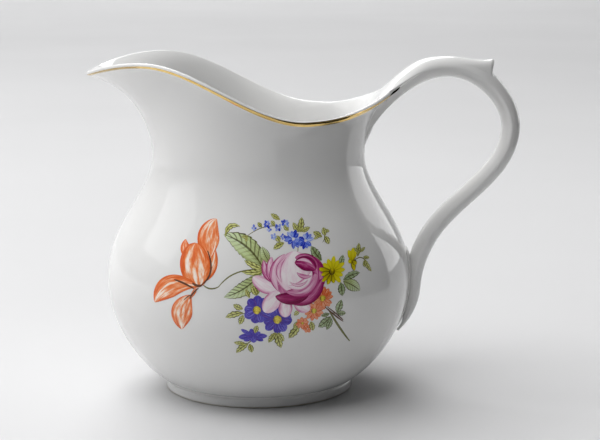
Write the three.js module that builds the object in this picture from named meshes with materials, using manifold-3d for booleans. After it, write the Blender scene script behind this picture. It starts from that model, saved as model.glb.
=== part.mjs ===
// Porcelain cream jug, drawn in millimetres with +Z up.
//
// The jug stands on the XY plane. The spout points to -X, the handle to +X, and the
// painted side faces -Y. Everything is drawn around the body's turning axis, and the
// finished group is then shifted along X so that its origin is the middle of its base.
//
// Angles around the body start at the spout (0) and reach the handle at PI.

import * as THREE from 'three';
import { mergeVertices } from 'three/addons/utils/BufferGeometryUtils.js';
import Module from 'manifold-3d';

const wasm = await Module();
wasm.setup();

// ---------------------------------------------------------------- driving dimensions

// Clear space between pieces that touch, and the thickness of the slip that joins them.
const GAP = 0.3;
const SLIP = 0.5;

// Foot ring.
const FOOT_RADIUS = 28.2;
const FOOT_WIDTH = 4.4;
const FOOT_HEIGHT = 2.0;
const FOOT_ROUNDING = 0.5;
const FOOT_SLIP_ROUNDING = 0.15;

// Body: where it sits on the foot, its widest ring and its neck.
const SEAT_Z = FOOT_HEIGHT + GAP + SLIP + GAP;
const SEAT_RADIUS = 27.4;
const SEAT_REACH = 3.6;
const BELLY_RADIUS = 45.3;
const BELLY_Z = 33.4;
const BELLY_EASE = 17.0;
const NECK_RADIUS = 31.6;
const NECK_Z = 70.5;
const NECK_EASE = 11.4;
const WALL = 2.6;
const LIP = 1.4;

// Rim, seen from above: a round opening drawn out to a spout and back to the handle.
const RIM_RADIUS = 34.6;
const SPOUT_REACH = 10.9;
const SPOUT_SHARPNESS = 14;
const ROOT_REACH = 11.0;
const ROOT_SHARPNESS = 16;
const RIM_OFFSET = 4.6;

// Rim, seen from the side: spout tip, crest, lowest point and the rise to the handle.
const TIP = { x: -50.1, z: 93.9 };
const CREST = { x: -31.2, z: 98.0 };
const LOW = { x: 15.1, z: 82.4 };
const ROOT = { x: 44.6, z: 93.3 };
const ROOT_RISE_POWER = 2.6;

// How far the flare above the neck leans out before it turns up to the rim.
const FLARE_OUT = 0.05;
const FLARE_UP = 0.79;

// Handle: the stations of its centre line in the XZ plane, with the line's direction,
// the Bezier reach before and after each station, and the half sizes of the section.
const HANDLE_STATIONS = [
  { name: 'root', x: 28.5, z: 79.6, angle: 41, before: 0, after: 16.0,
    halfWidth: 12.0, halfDepth: 4.6 },
  { name: 'top', x: 56.3, z: 96.4, angle: 0, before: 11.8, after: 9.4,
    halfWidth: 3.9, halfDepth: 3.05 },
  { name: 'outermost', x: 74.9, z: 78.6, angle: -90, before: 8.2, after: 14.6,
    halfWidth: 3.6, halfDepth: 2.75 },
  { name: 'crotch', x: 50.2, z: 44.3, angle: -117.8, before: 14.7, after: 5.6,
    halfWidth: 3.6, halfDepth: 2.8 },
  { name: 'heel', x: 46.3, z: 29.5, angle: -95, before: 6.0, after: 5.0,
    halfWidth: 3.4, halfDepth: 2.4 },
  { name: 'tail', x: 41.9, z: 16.5, angle: -135, before: 4.5, after: 0,
    halfWidth: 0.8, halfDepth: 0.8 },
];
const HANDLE_STEPS = 14;
const HANDLE_SIDES = 16;

// Thumb spur: a leaf tip that stands on the handle and ends in a short hollow face.
const SPUR_WIDTH = 4.6;

// Gilding and the painted transfer are thin films, drawn thicker than they are.
const GILT_HEIGHT = 1.1;
const FILM = 0.25;

// The gold line starts and stops this many mesh steps away from the handle's middle.
const GILT_END = 3;

// Mesh steps around the body, and along each part of its section.
const SEGMENTS = 60;
const LOWER_STEPS = 7;
const SHOULDER_STEPS = 8;
const FLARE_STEPS = 8;
const RIM_STEPS = 4;

// Cutters run this far past the pieces that they trim.
const CLEARANCE = 40;

// -------------------------------------------------------------------------- materials

const finish = (color, roughness, metalness = 0) =>
  new THREE.MeshStandardMaterial({ color, roughness, metalness });

const MATERIALS = {
  glaze: finish(0xf1f0ee, 0.12),
  bisque: finish(0xe6e1d8, 0.75),
  slip: finish(0xeae7e1, 0.6),
  gold: finish(0xcaa24a, 0.2, 1),
  enamel: finish(0xb06a86, 0.3),
};

// ---------------------------------------------------------------------- mesh helpers

// Joins shared corners, drops the faces that have collapsed to a line, and leaves a
// plain closed mesh.
function weld(geometry) {
  geometry.deleteAttribute('normal');
  geometry.deleteAttribute('uv');
  const merged = mergeVertices(geometry, 1e-4);
  const index = merged.getIndex().array;
  const kept = [];
  for (let i = 0; i < index.length; i += 3) {
    const [a, b, c] = [index[i], index[i + 1], index[i + 2]];
    if (a !== b && b !== c && c !== a) kept.push(a, b, c);
  }
  merged.setIndex(kept);
  return merged;
}

function toSolid(geometry) {
  const welded = weld(geometry);
  return new wasm.Manifold(new wasm.Mesh({
    numProp: 3,
    vertProperties: new Float32Array(welded.getAttribute('position').array),
    triVerts: new Uint32Array(welded.getIndex().array),
  }));
}

function fromSolid(solid) {
  const mesh = solid.getMesh();
  const geometry = new THREE.BufferGeometry();
  geometry.setAttribute('position', new THREE.BufferAttribute(mesh.vertProperties, 3));
  geometry.setIndex(new THREE.BufferAttribute(mesh.triVerts, 1));
  return geometry;
}

// A closed body around the Z axis whose section may change with the angle. sectionAt
// gives the section as [radius, height] points, up the outside and down the inside.
function turned(sectionAt) {
  const count = sectionAt(0).length;
  const blank = Array.from({ length: count }, (_, i) => new THREE.Vector2(1, i));
  const geometry = new THREE.LatheGeometry(blank, SEGMENTS);
  const position = geometry.getAttribute('position');
  for (let i = 0; i <= SEGMENTS; i += 1) {
    const angle = (2 * Math.PI * (i % SEGMENTS)) / SEGMENTS;
    sectionAt(angle).forEach(([radius, z], j) => {
      position.setXYZ(i * count + j, -radius * Math.cos(angle), -radius * Math.sin(angle), z);
    });
  }
  return geometry;
}

// ------------------------------------------------------------------ body outer surface

// (1 + cos) / 2, raised to a power, is a smooth lobe that is 1 at angle 0.
const lobe = (angle, sharpness) => ((1 + Math.cos(angle)) / 2) ** sharpness;

const rimRadius = (angle) => RIM_RADIUS
  + RIM_OFFSET * Math.cos(angle)
  + SPOUT_REACH * lobe(angle, SPOUT_SHARPNESS)
  + ROOT_REACH * lobe(angle - Math.PI, ROOT_SHARPNESS);

function rimHeight(angle) {
  const x = -rimRadius(angle) * Math.cos(angle);
  if (x < CREST.x) {
    const run = (CREST.x - x) / (CREST.x - TIP.x);
    return CREST.z - (CREST.z - TIP.z) * run ** 2;
  }
  if (x < LOW.x) {
    return CREST.z - (CREST.z - LOW.z) * THREE.MathUtils.smoothstep(x, CREST.x, LOW.x);
  }
  const run = (x - LOW.x) / (ROOT.x - LOW.x);
  return LOW.z + (ROOT.z - LOW.z) * run ** ROOT_RISE_POWER;
}

const bezier = (...points) =>
  new THREE.CubicBezierCurve(...points.map(([x, y]) => new THREE.Vector2(x, y)));

// The three curves of the outer wall at one angle: foot to belly, belly to neck, and
// the flare to the rim, which leaves the neck with the shoulder's curvature.
function wallCurves(angle) {
  const radius = rimRadius(angle);
  const height = rimHeight(angle);
  const reach = radius - NECK_RADIUS;
  const flareEase = NECK_EASE * Math.sqrt((FLARE_OUT * reach) / (BELLY_RADIUS - NECK_RADIUS));
  return [
    [LOWER_STEPS, bezier(
      [SEAT_RADIUS, SEAT_Z],
      [SEAT_RADIUS + SEAT_REACH, SEAT_Z],
      [BELLY_RADIUS, BELLY_Z - BELLY_EASE],
      [BELLY_RADIUS, BELLY_Z],
    )],
    [SHOULDER_STEPS, bezier(
      [BELLY_RADIUS, BELLY_Z],
      [BELLY_RADIUS, BELLY_Z + BELLY_EASE],
      [NECK_RADIUS, NECK_Z - NECK_EASE],
      [NECK_RADIUS, NECK_Z],
    )],
    [FLARE_STEPS, bezier(
      [NECK_RADIUS, NECK_Z],
      [NECK_RADIUS, NECK_Z + flareEase],
      [NECK_RADIUS + FLARE_OUT * reach, NECK_Z + FLARE_UP * (height - NECK_Z)],
      [radius, height],
    )],
  ];
}

// Points up the outer wall, each with the direction that faces away from the wall.
function wallPoints(angle) {
  const points = [];
  wallCurves(angle).forEach(([steps, curve], part) => {
    for (let i = part === 0 ? 0 : 1; i <= steps; i += 1) {
      const place = curve.getPoint(i / steps);
      const along = curve.getTangent(i / steps);
      points.push({ place, out: new THREE.Vector2(along.y, -along.x), along });
    }
  });
  return points;
}

const offset = ({ place, out }, distance) =>
  [place.x + out.x * distance, place.y + out.y * distance];

// The body filled solid, swollen by a distance and carried on up past the lip. It is
// the tool that fits other pieces to the wall.
function filledBody(distance) {
  return toSolid(turned((angle) => {
    const wall = wallPoints(angle);
    const outside = wall.map((point) => offset(point, distance));
    const [edgeRadius, edgeZ] = outside[outside.length - 1];
    const { along } = wall[wall.length - 1];
    const lipRise = LIP / 2 + distance;
    const lipRadius = edgeRadius + along.x * lipRise;
    const top = NECK_Z + CLEARANCE;
    return [
      [0, SEAT_Z - distance],
      ...outside,
      [lipRadius, edgeZ + along.y * lipRise],
      [lipRadius, top],
      [0, top],
    ];
  }));
}

const shell = (inner, outer) => filledBody(outer).subtract(filledBody(inner));

// ------------------------------------------------------------------------------ vessel

// The wall thins through the flare, from its full thickness to the lip's.
const wallThickness = (i) =>
  THREE.MathUtils.lerp(WALL, LIP, Math.max(0, i - LOWER_STEPS - SHOULDER_STEPS) / FLARE_STEPS);

// Body, neck and spout in one cast wall, open at the top, with a rounded lip.
function vessel() {
  return weld(turned((angle) => {
    const wall = wallPoints(angle);
    const outside = wall.map((point) => offset(point, 0));
    const inside = wall.map((point, i) => offset(point, -wallThickness(i))).reverse();
    const { place, out, along } = wall[wall.length - 1];
    const lip = [];
    for (let i = 1; i < RIM_STEPS; i += 1) {
      const turn = (Math.PI * i) / RIM_STEPS;
      const acrossLip = (Math.cos(turn) - 1) * (LIP / 2);
      const upLip = Math.sin(turn) * (LIP / 2);
      lip.push([
        place.x + out.x * acrossLip + along.x * upLip,
        place.y + out.y * acrossLip + along.y * upLip,
      ]);
    }
    return [[0, SEAT_Z], ...outside, ...lip, ...inside, [0, SEAT_Z + WALL]];
  }));
}

// -------------------------------------------------------------------- foot and its slip

function ring(innerRadius, outerRadius, low, high, rounding) {
  const section = [
    [innerRadius, low + rounding],
    [innerRadius + rounding, low],
    [outerRadius - rounding, low],
    [outerRadius, low + rounding],
    [outerRadius, high],
    [innerRadius, high],
    [innerRadius, low + rounding],
  ];
  return weld(turned(() => section));
}

const footRing = () =>
  ring(FOOT_RADIUS - FOOT_WIDTH, FOOT_RADIUS, 0, FOOT_HEIGHT, FOOT_ROUNDING);

const footSlip = () => ring(
  FOOT_RADIUS - FOOT_WIDTH + GAP,
  SEAT_RADIUS,
  FOOT_HEIGHT + GAP,
  FOOT_HEIGHT + GAP + SLIP,
  FOOT_SLIP_ROUNDING,
);

// ------------------------------------------------------------------------------ handle

const direction = (degrees) => {
  const angle = THREE.MathUtils.degToRad(degrees);
  return new THREE.Vector2(Math.cos(angle), Math.sin(angle));
};

// A bar along the centre line from one station to another. A closed cylinder gives the
// faces, and its rings are laid across the line with an oval section.
function handleBar(first, last) {
  const spans = [];
  for (let i = first; i < last; i += 1) {
    const [a, b] = [HANDLE_STATIONS[i], HANDLE_STATIONS[i + 1]];
    const start = new THREE.Vector2(a.x, a.z);
    const end = new THREE.Vector2(b.x, b.z);
    const curve = new THREE.CubicBezierCurve(
      start,
      start.clone().addScaledVector(direction(a.angle), a.after),
      end.clone().addScaledVector(direction(b.angle), -b.before),
      end,
    );
    spans.push({ curve, a, b });
  }
  const rings = spans.length * HANDLE_STEPS;
  const geometry = new THREE.CylinderGeometry(1, 1, rings, HANDLE_SIDES, rings);
  const position = geometry.getAttribute('position');
  const corner = new THREE.Vector3();
  for (let i = 0; i < position.count; i += 1) {
    corner.fromBufferAttribute(position, i);
    const step = Math.round(corner.y + rings / 2);
    const span = spans[Math.min(Math.floor(step / HANDLE_STEPS), spans.length - 1)];
    const t = step / HANDLE_STEPS - spans.indexOf(span);
    const blend = THREE.MathUtils.smoothstep(t, 0, 1);
    const place = span.curve.getPoint(t);
    const along = span.curve.getTangent(t);
    const across = corner.x * THREE.MathUtils.lerp(span.a.halfWidth, span.b.halfWidth, blend);
    const deep = corner.z * THREE.MathUtils.lerp(span.a.halfDepth, span.b.halfDepth, blend);
    position.setXYZ(i, place.x - along.y * deep, -across, place.y + along.x * deep);
  }
  return toSolid(geometry);
}

// A flat outline in the XZ plane, carried from one Y to another.
function slab(shape, fromY, toY, curveSteps) {
  const depth = toY - fromY;
  const geometry = new THREE.ExtrudeGeometry(shape, {
    depth,
    bevelEnabled: false,
    curveSegments: curveSteps,
  });
  geometry.rotateX(Math.PI / 2);
  geometry.translate(0, toY, 0);
  return toSolid(geometry);
}

// The spur's outline runs along the handle's back, round the tip and down its hollow
// end, and closes inside the handle.
function spur() {
  const outline = new THREE.Shape();
  outline.moveTo(60.0, 97.6);
  outline.quadraticCurveTo(64.6, 97.9, 67.4, 98.8);
  outline.quadraticCurveTo(69.8, 99.4, 69.7, 97.2);
  outline.quadraticCurveTo(69.2, 94.6, 70.8, 92.0);
  outline.lineTo(68.0, 91.0);
  outline.lineTo(60.0, 95.4);
  return slab(outline, -SPUR_WIDTH / 2, SPUR_WIDTH / 2, 6);
}

const LAST_STATION = HANDLE_STATIONS.length - 1;
const CROTCH_STATION = HANDLE_STATIONS.findIndex(({ name }) => name === 'crotch');

const handle = () => fromSolid(
  handleBar(0, LAST_STATION).add(spur()).subtract(filledBody(GAP + SLIP + GAP)),
);

// The film of slip that joins one end of the handle to the wall.
const handleSlip = (first, last) => fromSolid(
  handleBar(first, last).intersect(shell(GAP, GAP + SLIP)),
);

// ----------------------------------------------------------------------------- gilding

// A band laid on the outer edge of the lip, from one side of the handle round the
// spout to the other. A closed box gives the faces.
function giltLine() {
  const steps = SEGMENTS - 2 * GILT_END;
  const geometry = new THREE.BoxGeometry(steps, 1, 1, steps, 1, 1);
  const position = geometry.getAttribute('position');
  const corner = new THREE.Vector3();
  for (let i = 0; i < position.count; i += 1) {
    corner.fromBufferAttribute(position, i);
    const step = Math.round(corner.x);
    const angle = (2 * Math.PI * step) / SEGMENTS;
    const { place, out, along } = wallPoints(angle).pop();
    const up = corner.y * GILT_HEIGHT - GILT_HEIGHT / 2;
    const away = GAP + (corner.z + 0.5) * FILM;
    const radius = place.x + along.x * up + out.x * away;
    const height = place.y + along.y * up + out.y * away;
    position.setXYZ(i, -radius * Math.cos(angle), -radius * Math.sin(angle), height);
  }
  return weld(geometry);
}

// ---------------------------------------------------------------------- floral transfer

// The transfer's outline: overlapping ovals under its flowers, leaves and stems, as
// [x, z, half length, half height, tilt in degrees], seen from the painted side.
const TRANSFER_OVALS = {
  tulip: [
    [-17.1, 44.9, 7.8, 3.8, 52],
    [-12.8, 51.6, 5.2, 2.8, 68],
    [-22.6, 38.5, 6.2, 3.0, 15],
    [-20.6, 33.0, 5.2, 2.8, 62],
    [-15.0, 40.4, 3.2, 2.6, 0],
  ],
  stem: [
    [-11.0, 39.2, 4.4, 1.2, 0],
    [-3.6, 41.6, 7.6, 1.2, 20],
  ],
  leaves: [
    [-3.4, 48.8, 8.2, 3.4, -42],
    [-2.9, 40.5, 6.4, 2.4, 31],
    [-5.6, 32.2, 3.6, 1.9, 10],
    [-2.6, 21.9, 3.4, 1.8, -20],
    [6.0, 25.6, 1.9, 2.6, 0],
    [28.0, 38.6, 4.4, 2.2, 25],
    [24.4, 33.4, 3.8, 2.4, -20],
    [22.6, 26.2, 7.4, 1.5, -55],
  ],
  rose: [
    [10.9, 41.6, 8.2, 7.4, 0],
    [3.4, 39.4, 5.0, 7.0, 15],
    [8.6, 34.0, 6.4, 3.4, -10],
  ],
  blue_flowers: [
    [4.8, 53.6, 8.0, 3.2, 8],
    [11.6, 50.8, 5.4, 3.6, -20],
    [17.2, 52.4, 4.6, 2.2, -25],
  ],
  yellow_flowers: [
    [21.6, 43.6, 4.8, 4.6, 0],
    [16.8, 48.2, 4.2, 3.0, -30],
    [27.2, 45.4, 4.0, 2.8, 20],
    [30.6, 45.6, 2.2, 4.6, 0],
  ],
  small_flowers: [
    [17.2, 33.6, 6.6, 3.8, 58],
    [1.2, 33.2, 4.6, 4.4, 0],
    [6.0, 30.4, 4.4, 4.0, 0],
    [-0.4, 26.0, 3.2, 4.4, 0],
  ],
};
const OVAL_STEPS = 14;

function floralTransfer() {
  const prisms = Object.values(TRANSFER_OVALS).flat().map(([x, z, length, height, tilt]) => {
    const outline = new THREE.Shape();
    outline.absellipse(x, z, length, height, 0, 2 * Math.PI, false, THREE.MathUtils.degToRad(tilt));
    return slab(outline, -BELLY_RADIUS - CLEARANCE, -BELLY_RADIUS / 2, OVAL_STEPS);
  });
  const outline = prisms.reduce((joined, prism) => joined.add(prism));
  return fromSolid(outline.intersect(shell(GAP, GAP + FILM)));
}

// --------------------------------------------------------------------------- assembly

const PIECES = [
  ['vessel', vessel(), MATERIALS.glaze],
  ['foot_ring', footRing(), MATERIALS.bisque],
  ['foot_luting_slip', footSlip(), MATERIALS.slip],
  ['handle', handle(), MATERIALS.glaze],
  ['upper_luting_slip', handleSlip(0, 1), MATERIALS.slip],
  ['lower_luting_slip', handleSlip(CROTCH_STATION, LAST_STATION), MATERIALS.slip],
  ['gilt_rim_line', giltLine(), MATERIALS.gold],
  ['floral_transfer', floralTransfer(), MATERIALS.enamel],
];

const jug = new THREE.Group();
PIECES.forEach(([name, geometry, material]) => {
  const piece = new THREE.Mesh(geometry, material);
  piece.name = name;
  jug.add(piece);
});

// The frame's origin is under the middle of the jug's length, in its plane of symmetry.
const box = new THREE.Box3().setFromObject(jug, true);
jug.position.set(-(box.min.x + box.max.x) / 2, 0, -box.min.z);

export default jug;
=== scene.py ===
# Porcelain cream jug: the fine surfaces, glaze, gilding and painted flowers, built around
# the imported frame. Shapes are worked out in millimetres around the body's turning axis,
# with angle 0 at the spout and pi at the handle, and become metres in add_piece.
import math

import bpy
import numpy as np
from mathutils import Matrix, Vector


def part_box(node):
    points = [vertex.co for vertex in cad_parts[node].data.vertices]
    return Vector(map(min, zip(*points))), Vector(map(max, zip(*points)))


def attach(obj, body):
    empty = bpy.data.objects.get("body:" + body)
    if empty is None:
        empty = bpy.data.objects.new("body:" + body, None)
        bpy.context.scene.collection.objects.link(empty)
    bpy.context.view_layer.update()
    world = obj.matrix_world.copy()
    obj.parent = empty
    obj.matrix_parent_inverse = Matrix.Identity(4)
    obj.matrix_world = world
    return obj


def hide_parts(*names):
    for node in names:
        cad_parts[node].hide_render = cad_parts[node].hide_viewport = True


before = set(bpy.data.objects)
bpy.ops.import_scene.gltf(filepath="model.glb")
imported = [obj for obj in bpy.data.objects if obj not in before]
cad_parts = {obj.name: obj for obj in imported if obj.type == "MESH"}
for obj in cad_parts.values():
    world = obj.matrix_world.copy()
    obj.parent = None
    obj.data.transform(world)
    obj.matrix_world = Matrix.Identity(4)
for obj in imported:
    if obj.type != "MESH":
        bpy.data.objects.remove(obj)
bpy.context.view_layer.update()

MM = 0.001


def box_mm(node):
    low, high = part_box(node)
    return np.array(low) / MM, np.array(high) / MM


# ---------------------------------------------------------------- driving dimensions
#
# The foot's place and radius, the seat's height and the belly's radius come from the frame.
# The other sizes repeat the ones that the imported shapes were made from.

vessel_low, vessel_high = box_mm("vessel")
foot_low, foot_high = box_mm("foot_ring")
AXIS_X = (foot_low[0] + foot_high[0]) / 2
AXIS_Y = (foot_low[1] + foot_high[1]) / 2

FOOT_RADIUS = (foot_high[0] - foot_low[0]) / 2
FOOT_WIDTH = 4.4
SEAT_Z = vessel_low[2]
SEAT_INSET = 0.8
SEAT_RADIUS = FOOT_RADIUS - SEAT_INSET
SEAT_REACH = 3.6
BASE_HOLLOW = 0.7
BELLY_RADIUS = (vessel_high[1] - vessel_low[1]) / 2
BELLY_Z = 33.4
BELLY_EASE = 17.0
NECK_RADIUS = 31.6
NECK_Z = 70.5
NECK_EASE = 11.4
WALL = 2.6
LIP = 1.4

RIM_RADIUS = 34.6
RIM_OFFSET = 4.6
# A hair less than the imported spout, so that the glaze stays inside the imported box.
SPOUT_REACH = 10.86
SPOUT_SHARPNESS = 14
ROOT_REACH = 11.0
ROOT_SHARPNESS = 16
TIP_X, TIP_Z = -50.1, 93.9
CREST_X, CREST_Z = -31.2, 98.0
LOW_X, LOW_Z = 15.1, 82.4
ROOT_X, ROOT_Z = 44.6, 93.3
ROOT_RISE_POWER = 2.6
FLARE_OUT = 0.05
FLARE_UP = 0.79

# The handle's centre line: station x, z, direction in degrees, Bezier reach before and
# after it, and the half width and half depth of the section there.
HANDLE_STATIONS = [
    (28.5, 79.6, 41.0, 0.0, 16.0, 12.0, 4.6),
    (56.3, 96.4, 0.0, 11.8, 9.4, 3.9, 3.05),
    (74.9, 78.6, -90.0, 8.2, 14.6, 3.6, 2.75),
    (50.2, 44.3, -117.8, 14.7, 5.6, 3.6, 2.8),
    (46.3, 29.5, -95.0, 6.0, 5.0, 3.4, 2.4),
    (41.9, 16.5, -135.0, 4.5, 0.0, 0.5, 0.4),
]


# ------------------------------------------------------------------------ mesh helpers

def smoothstep(t):
    t = np.clip(t, 0.0, 1.0)
    return t * t * (3.0 - 2.0 * t)


def bezier(points, t):
    """A cubic Bezier's place and direction at t. points may hold one curve or many."""
    p0, p1, p2, p3 = points
    u = 1.0 - t
    place = u**3 * p0 + 3 * u * u * t * p1 + 3 * u * t * t * p2 + t**3 * p3
    along = u * u * (p1 - p0) + 2 * u * t * (p2 - p1) + t * t * (p3 - p2)
    return place, along / np.linalg.norm(along, axis=-1, keepdims=True)


def unit(vectors):
    length = np.linalg.norm(vectors, axis=-1, keepdims=True)
    return vectors / np.maximum(length, 1e-12)


def outward(points, faces):
    """The faces, all turned over if the closed mesh they make is inside out."""
    triangles = np.array([
        (face[0], second, third) for face in faces for second, third in zip(face[1:-1], face[2:])
    ])
    first, second, third = np.asarray(points, float)[triangles].swapaxes(0, 1)
    volume = (first * np.cross(second, third)).sum()
    return faces if volume > 0 else [tuple(reversed(face)) for face in faces]


def add_piece(name, points, faces, normals, material, replaced, layers=None):
    """Makes a mesh object from millimetre points, with its own smooth normals."""
    faces = outward(points, faces)
    placed = (np.asarray(points, float) + [AXIS_X, AXIS_Y, 0.0]) * MM
    mesh = bpy.data.meshes.new(name)
    mesh.from_pydata(placed.tolist(), [], [list(map(int, face)) for face in faces])
    mesh.polygons.foreach_set("use_smooth", [True] * len(mesh.polygons))
    for layer, values in (layers or {}).items():
        attribute = mesh.attributes.new(layer, "FLOAT", "POINT")
        attribute.data.foreach_set("value", np.asarray(values, np.float32))
    mesh.update()
    if normals is not None:
        normals = unit(np.asarray(normals, float))
        own = np.array([vertex.normal for vertex in mesh.vertices])
        if (own * normals).sum() < 0:
            normals = -normals
        mesh.normals_split_custom_set_from_vertices(normals.tolist())
    mesh.materials.append(material)
    piece = bpy.data.objects.new(name, mesh)
    bpy.context.collection.objects.link(piece)
    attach(piece, "root")
    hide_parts(*replaced)


def grid_faces(rows, columns, index, skip=None):
    """Quads over rows of closed rings of vertices: index(row, column) names a vertex."""
    faces = []
    for i in range(rows - 1):
        for j in range(columns):
            if skip and skip(i, j):
                continue
            k = (j + 1) % columns
            faces.append((index(i, j), index(i, k), index(i + 1, k), index(i + 1, j)))
    return faces


def tube_faces(grid):
    """The faces of a tube of closed rings, from a grid of shape (rows, columns, 3), with a
    flat face over each end."""
    rows, columns = grid.shape[:2]
    last = (rows - 1) * columns
    faces = grid_faces(rows, columns, lambda i, j: i * columns + j)
    faces.append(tuple(range(columns)))
    faces.append(tuple(last + j for j in reversed(range(columns))))
    return faces


def grid_normals(grid, wrap_rows=False):
    """Normals of rows of closed rings of shape (rows, columns, 3), from their neighbours."""
    along_ring = np.roll(grid, -1, 1) - np.roll(grid, 1, 1)
    if wrap_rows:
        across_rings = np.roll(grid, -1, 0) - np.roll(grid, 1, 0)
    else:
        across_rings = np.gradient(grid, axis=0)
    return unit(np.cross(along_ring, across_rings))


# ---------------------------------------------------------------- body outer surface

def lobe(angle, sharpness):
    return ((1 + np.cos(angle)) / 2) ** sharpness


def rim_radius(angle):
    spout = SPOUT_REACH * lobe(angle, SPOUT_SHARPNESS)
    root = ROOT_REACH * lobe(angle - math.pi, ROOT_SHARPNESS)
    return RIM_RADIUS + RIM_OFFSET * np.cos(angle) + spout + root


def rim_height(angle):
    x = -rim_radius(angle) * np.cos(angle)
    tip = CREST_Z - (CREST_Z - TIP_Z) * ((CREST_X - x) / (CREST_X - TIP_X)) ** 2
    side = CREST_Z - (CREST_Z - LOW_Z) * smoothstep((x - CREST_X) / (LOW_X - CREST_X))
    run = np.maximum(x - LOW_X, 0.0) / (ROOT_X - LOW_X)
    back = LOW_Z + (ROOT_Z - LOW_Z) * run**ROOT_RISE_POWER
    return np.where(x < CREST_X, tip, np.where(x < LOW_X, side, back))


def wall_curves(angle):
    """Control points (radius, z) of the outer wall's three curves at each angle."""
    radius, height = rim_radius(angle), rim_height(angle)
    reach = radius - NECK_RADIUS
    ease = NECK_EASE * np.sqrt(FLARE_OUT * reach / (BELLY_RADIUS - NECK_RADIUS))

    def point(r, z):
        return np.stack(np.broadcast_arrays(r, z, 0 * angle)[:2], -1).astype(float)

    lower = [
        point(SEAT_RADIUS, SEAT_Z), point(SEAT_RADIUS + SEAT_REACH, SEAT_Z),
        point(BELLY_RADIUS, BELLY_Z - BELLY_EASE), point(BELLY_RADIUS, BELLY_Z),
    ]
    shoulder = [
        point(BELLY_RADIUS, BELLY_Z), point(BELLY_RADIUS, BELLY_Z + BELLY_EASE),
        point(NECK_RADIUS, NECK_Z - NECK_EASE), point(NECK_RADIUS, NECK_Z),
    ]
    flare = [
        point(NECK_RADIUS, NECK_Z), point(NECK_RADIUS, NECK_Z + ease),
        point(NECK_RADIUS + FLARE_OUT * reach, NECK_Z + FLARE_UP * (height - NECK_Z)),
        point(radius, height),
    ]
    return lower, shoulder, flare


def around(section, angle):
    """Points (radius, z) at an angle around the axis, as x, y, z."""
    radius, z = section[..., 0], section[..., 1]
    return np.stack([-radius * np.cos(angle), -radius * np.sin(angle), z], -1)


WALL_SAMPLES = 200


def wall_table():
    """Radius and outward normal of the round part of the body, by height."""
    lower, shoulder, _ = wall_curves(np.zeros(1))
    radii, heights, outs = [], [], []
    for curve in (lower, shoulder):
        for t in np.linspace(0, 1, WALL_SAMPLES):
            place, along = bezier(curve, t)
            radii.append(place[0, 0])
            heights.append(place[0, 1])
            outs.append((along[0, 1], -along[0, 0]))
    return np.array(heights), np.array(radii), np.array(outs)


WALL_HEIGHTS, WALL_RADII, WALL_OUTS = wall_table()


# --------------------------------------------------------------------------- materials

def new_material(name):
    material = bpy.data.materials.new(name)
    material.use_nodes = True
    tree = material.node_tree
    shader = tree.nodes["Principled BSDF"]
    return material, tree, shader


def node(tree, kind, **settings):
    made = tree.nodes.new(kind)
    for key, value in settings.items():
        setattr(made, key, value)
    return made


def object_place(tree):
    return node(tree, "ShaderNodeTexCoord").outputs["Object"]


def noise(tree, place, scale, detail=3.0, roughness=0.5):
    made = node(tree, "ShaderNodeTexNoise")
    made.inputs["Scale"].default_value = scale
    made.inputs["Detail"].default_value = detail
    made.inputs["Roughness"].default_value = roughness
    tree.links.new(place, made.inputs["Vector"])
    return made.outputs["Fac"]


def ramp(tree, value, stops):
    made = node(tree, "ShaderNodeValToRGB")
    elements = made.color_ramp.elements
    while len(elements) < len(stops):
        elements.new(0.5)
    for element, (at, colour) in zip(elements, stops):
        element.position = at
        element.color = (*colour, 1.0)
    tree.links.new(value, made.inputs["Fac"])
    return made.outputs["Color"]


def mottled(tree, shader, place, scale, darker, lighter):
    """Colours the shader with a soft noise between two nearly equal colours."""
    colour = ramp(tree, noise(tree, place, scale), [(0.3, darker), (0.7, lighter)])
    tree.links.new(colour, shader.inputs["Base Color"])


def scaled(tree, value, source, target):
    """The value, moved from the range source to the range target and kept inside it."""
    made = node(tree, "ShaderNodeMapRange")
    for key, number in zip(("From Min", "From Max", "To Min", "To Max"), (*source, *target)):
        made.inputs[key].default_value = number
    tree.links.new(value, made.inputs["Value"])
    return made.outputs["Result"]


def uneven_gloss(tree, shader, place, scale, smoothest, roughest):
    gloss = scaled(tree, noise(tree, place, scale), (0.3, 0.7), (smoothest, roughest))
    tree.links.new(gloss, shader.inputs["Roughness"])


def bump(tree, shader, height, strength, distance):
    made = node(tree, "ShaderNodeBump")
    made.inputs["Strength"].default_value = strength
    made.inputs["Distance"].default_value = distance
    tree.links.new(height, made.inputs["Height"])
    tree.links.new(made.outputs["Normal"], shader.inputs["Normal"])


def porcelain_material():
    """White hard-paste porcelain under a clear glaze."""
    material, tree, shader = new_material("glazed_porcelain")
    place = object_place(tree)
    mottled(tree, shader, place, 35.0, (0.800, 0.800, 0.792), (0.835, 0.833, 0.822))
    uneven_gloss(tree, shader, place, 140.0, 0.045, 0.085)
    shader.inputs["IOR"].default_value = 1.5
    shader.inputs["Coat Weight"].default_value = 0.25
    shader.inputs["Coat Roughness"].default_value = 0.03
    ripple = noise(tree, place, 55.0, detail=1.0)
    bump(tree, shader, ripple, strength=0.12, distance=0.0004)
    return material


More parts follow.
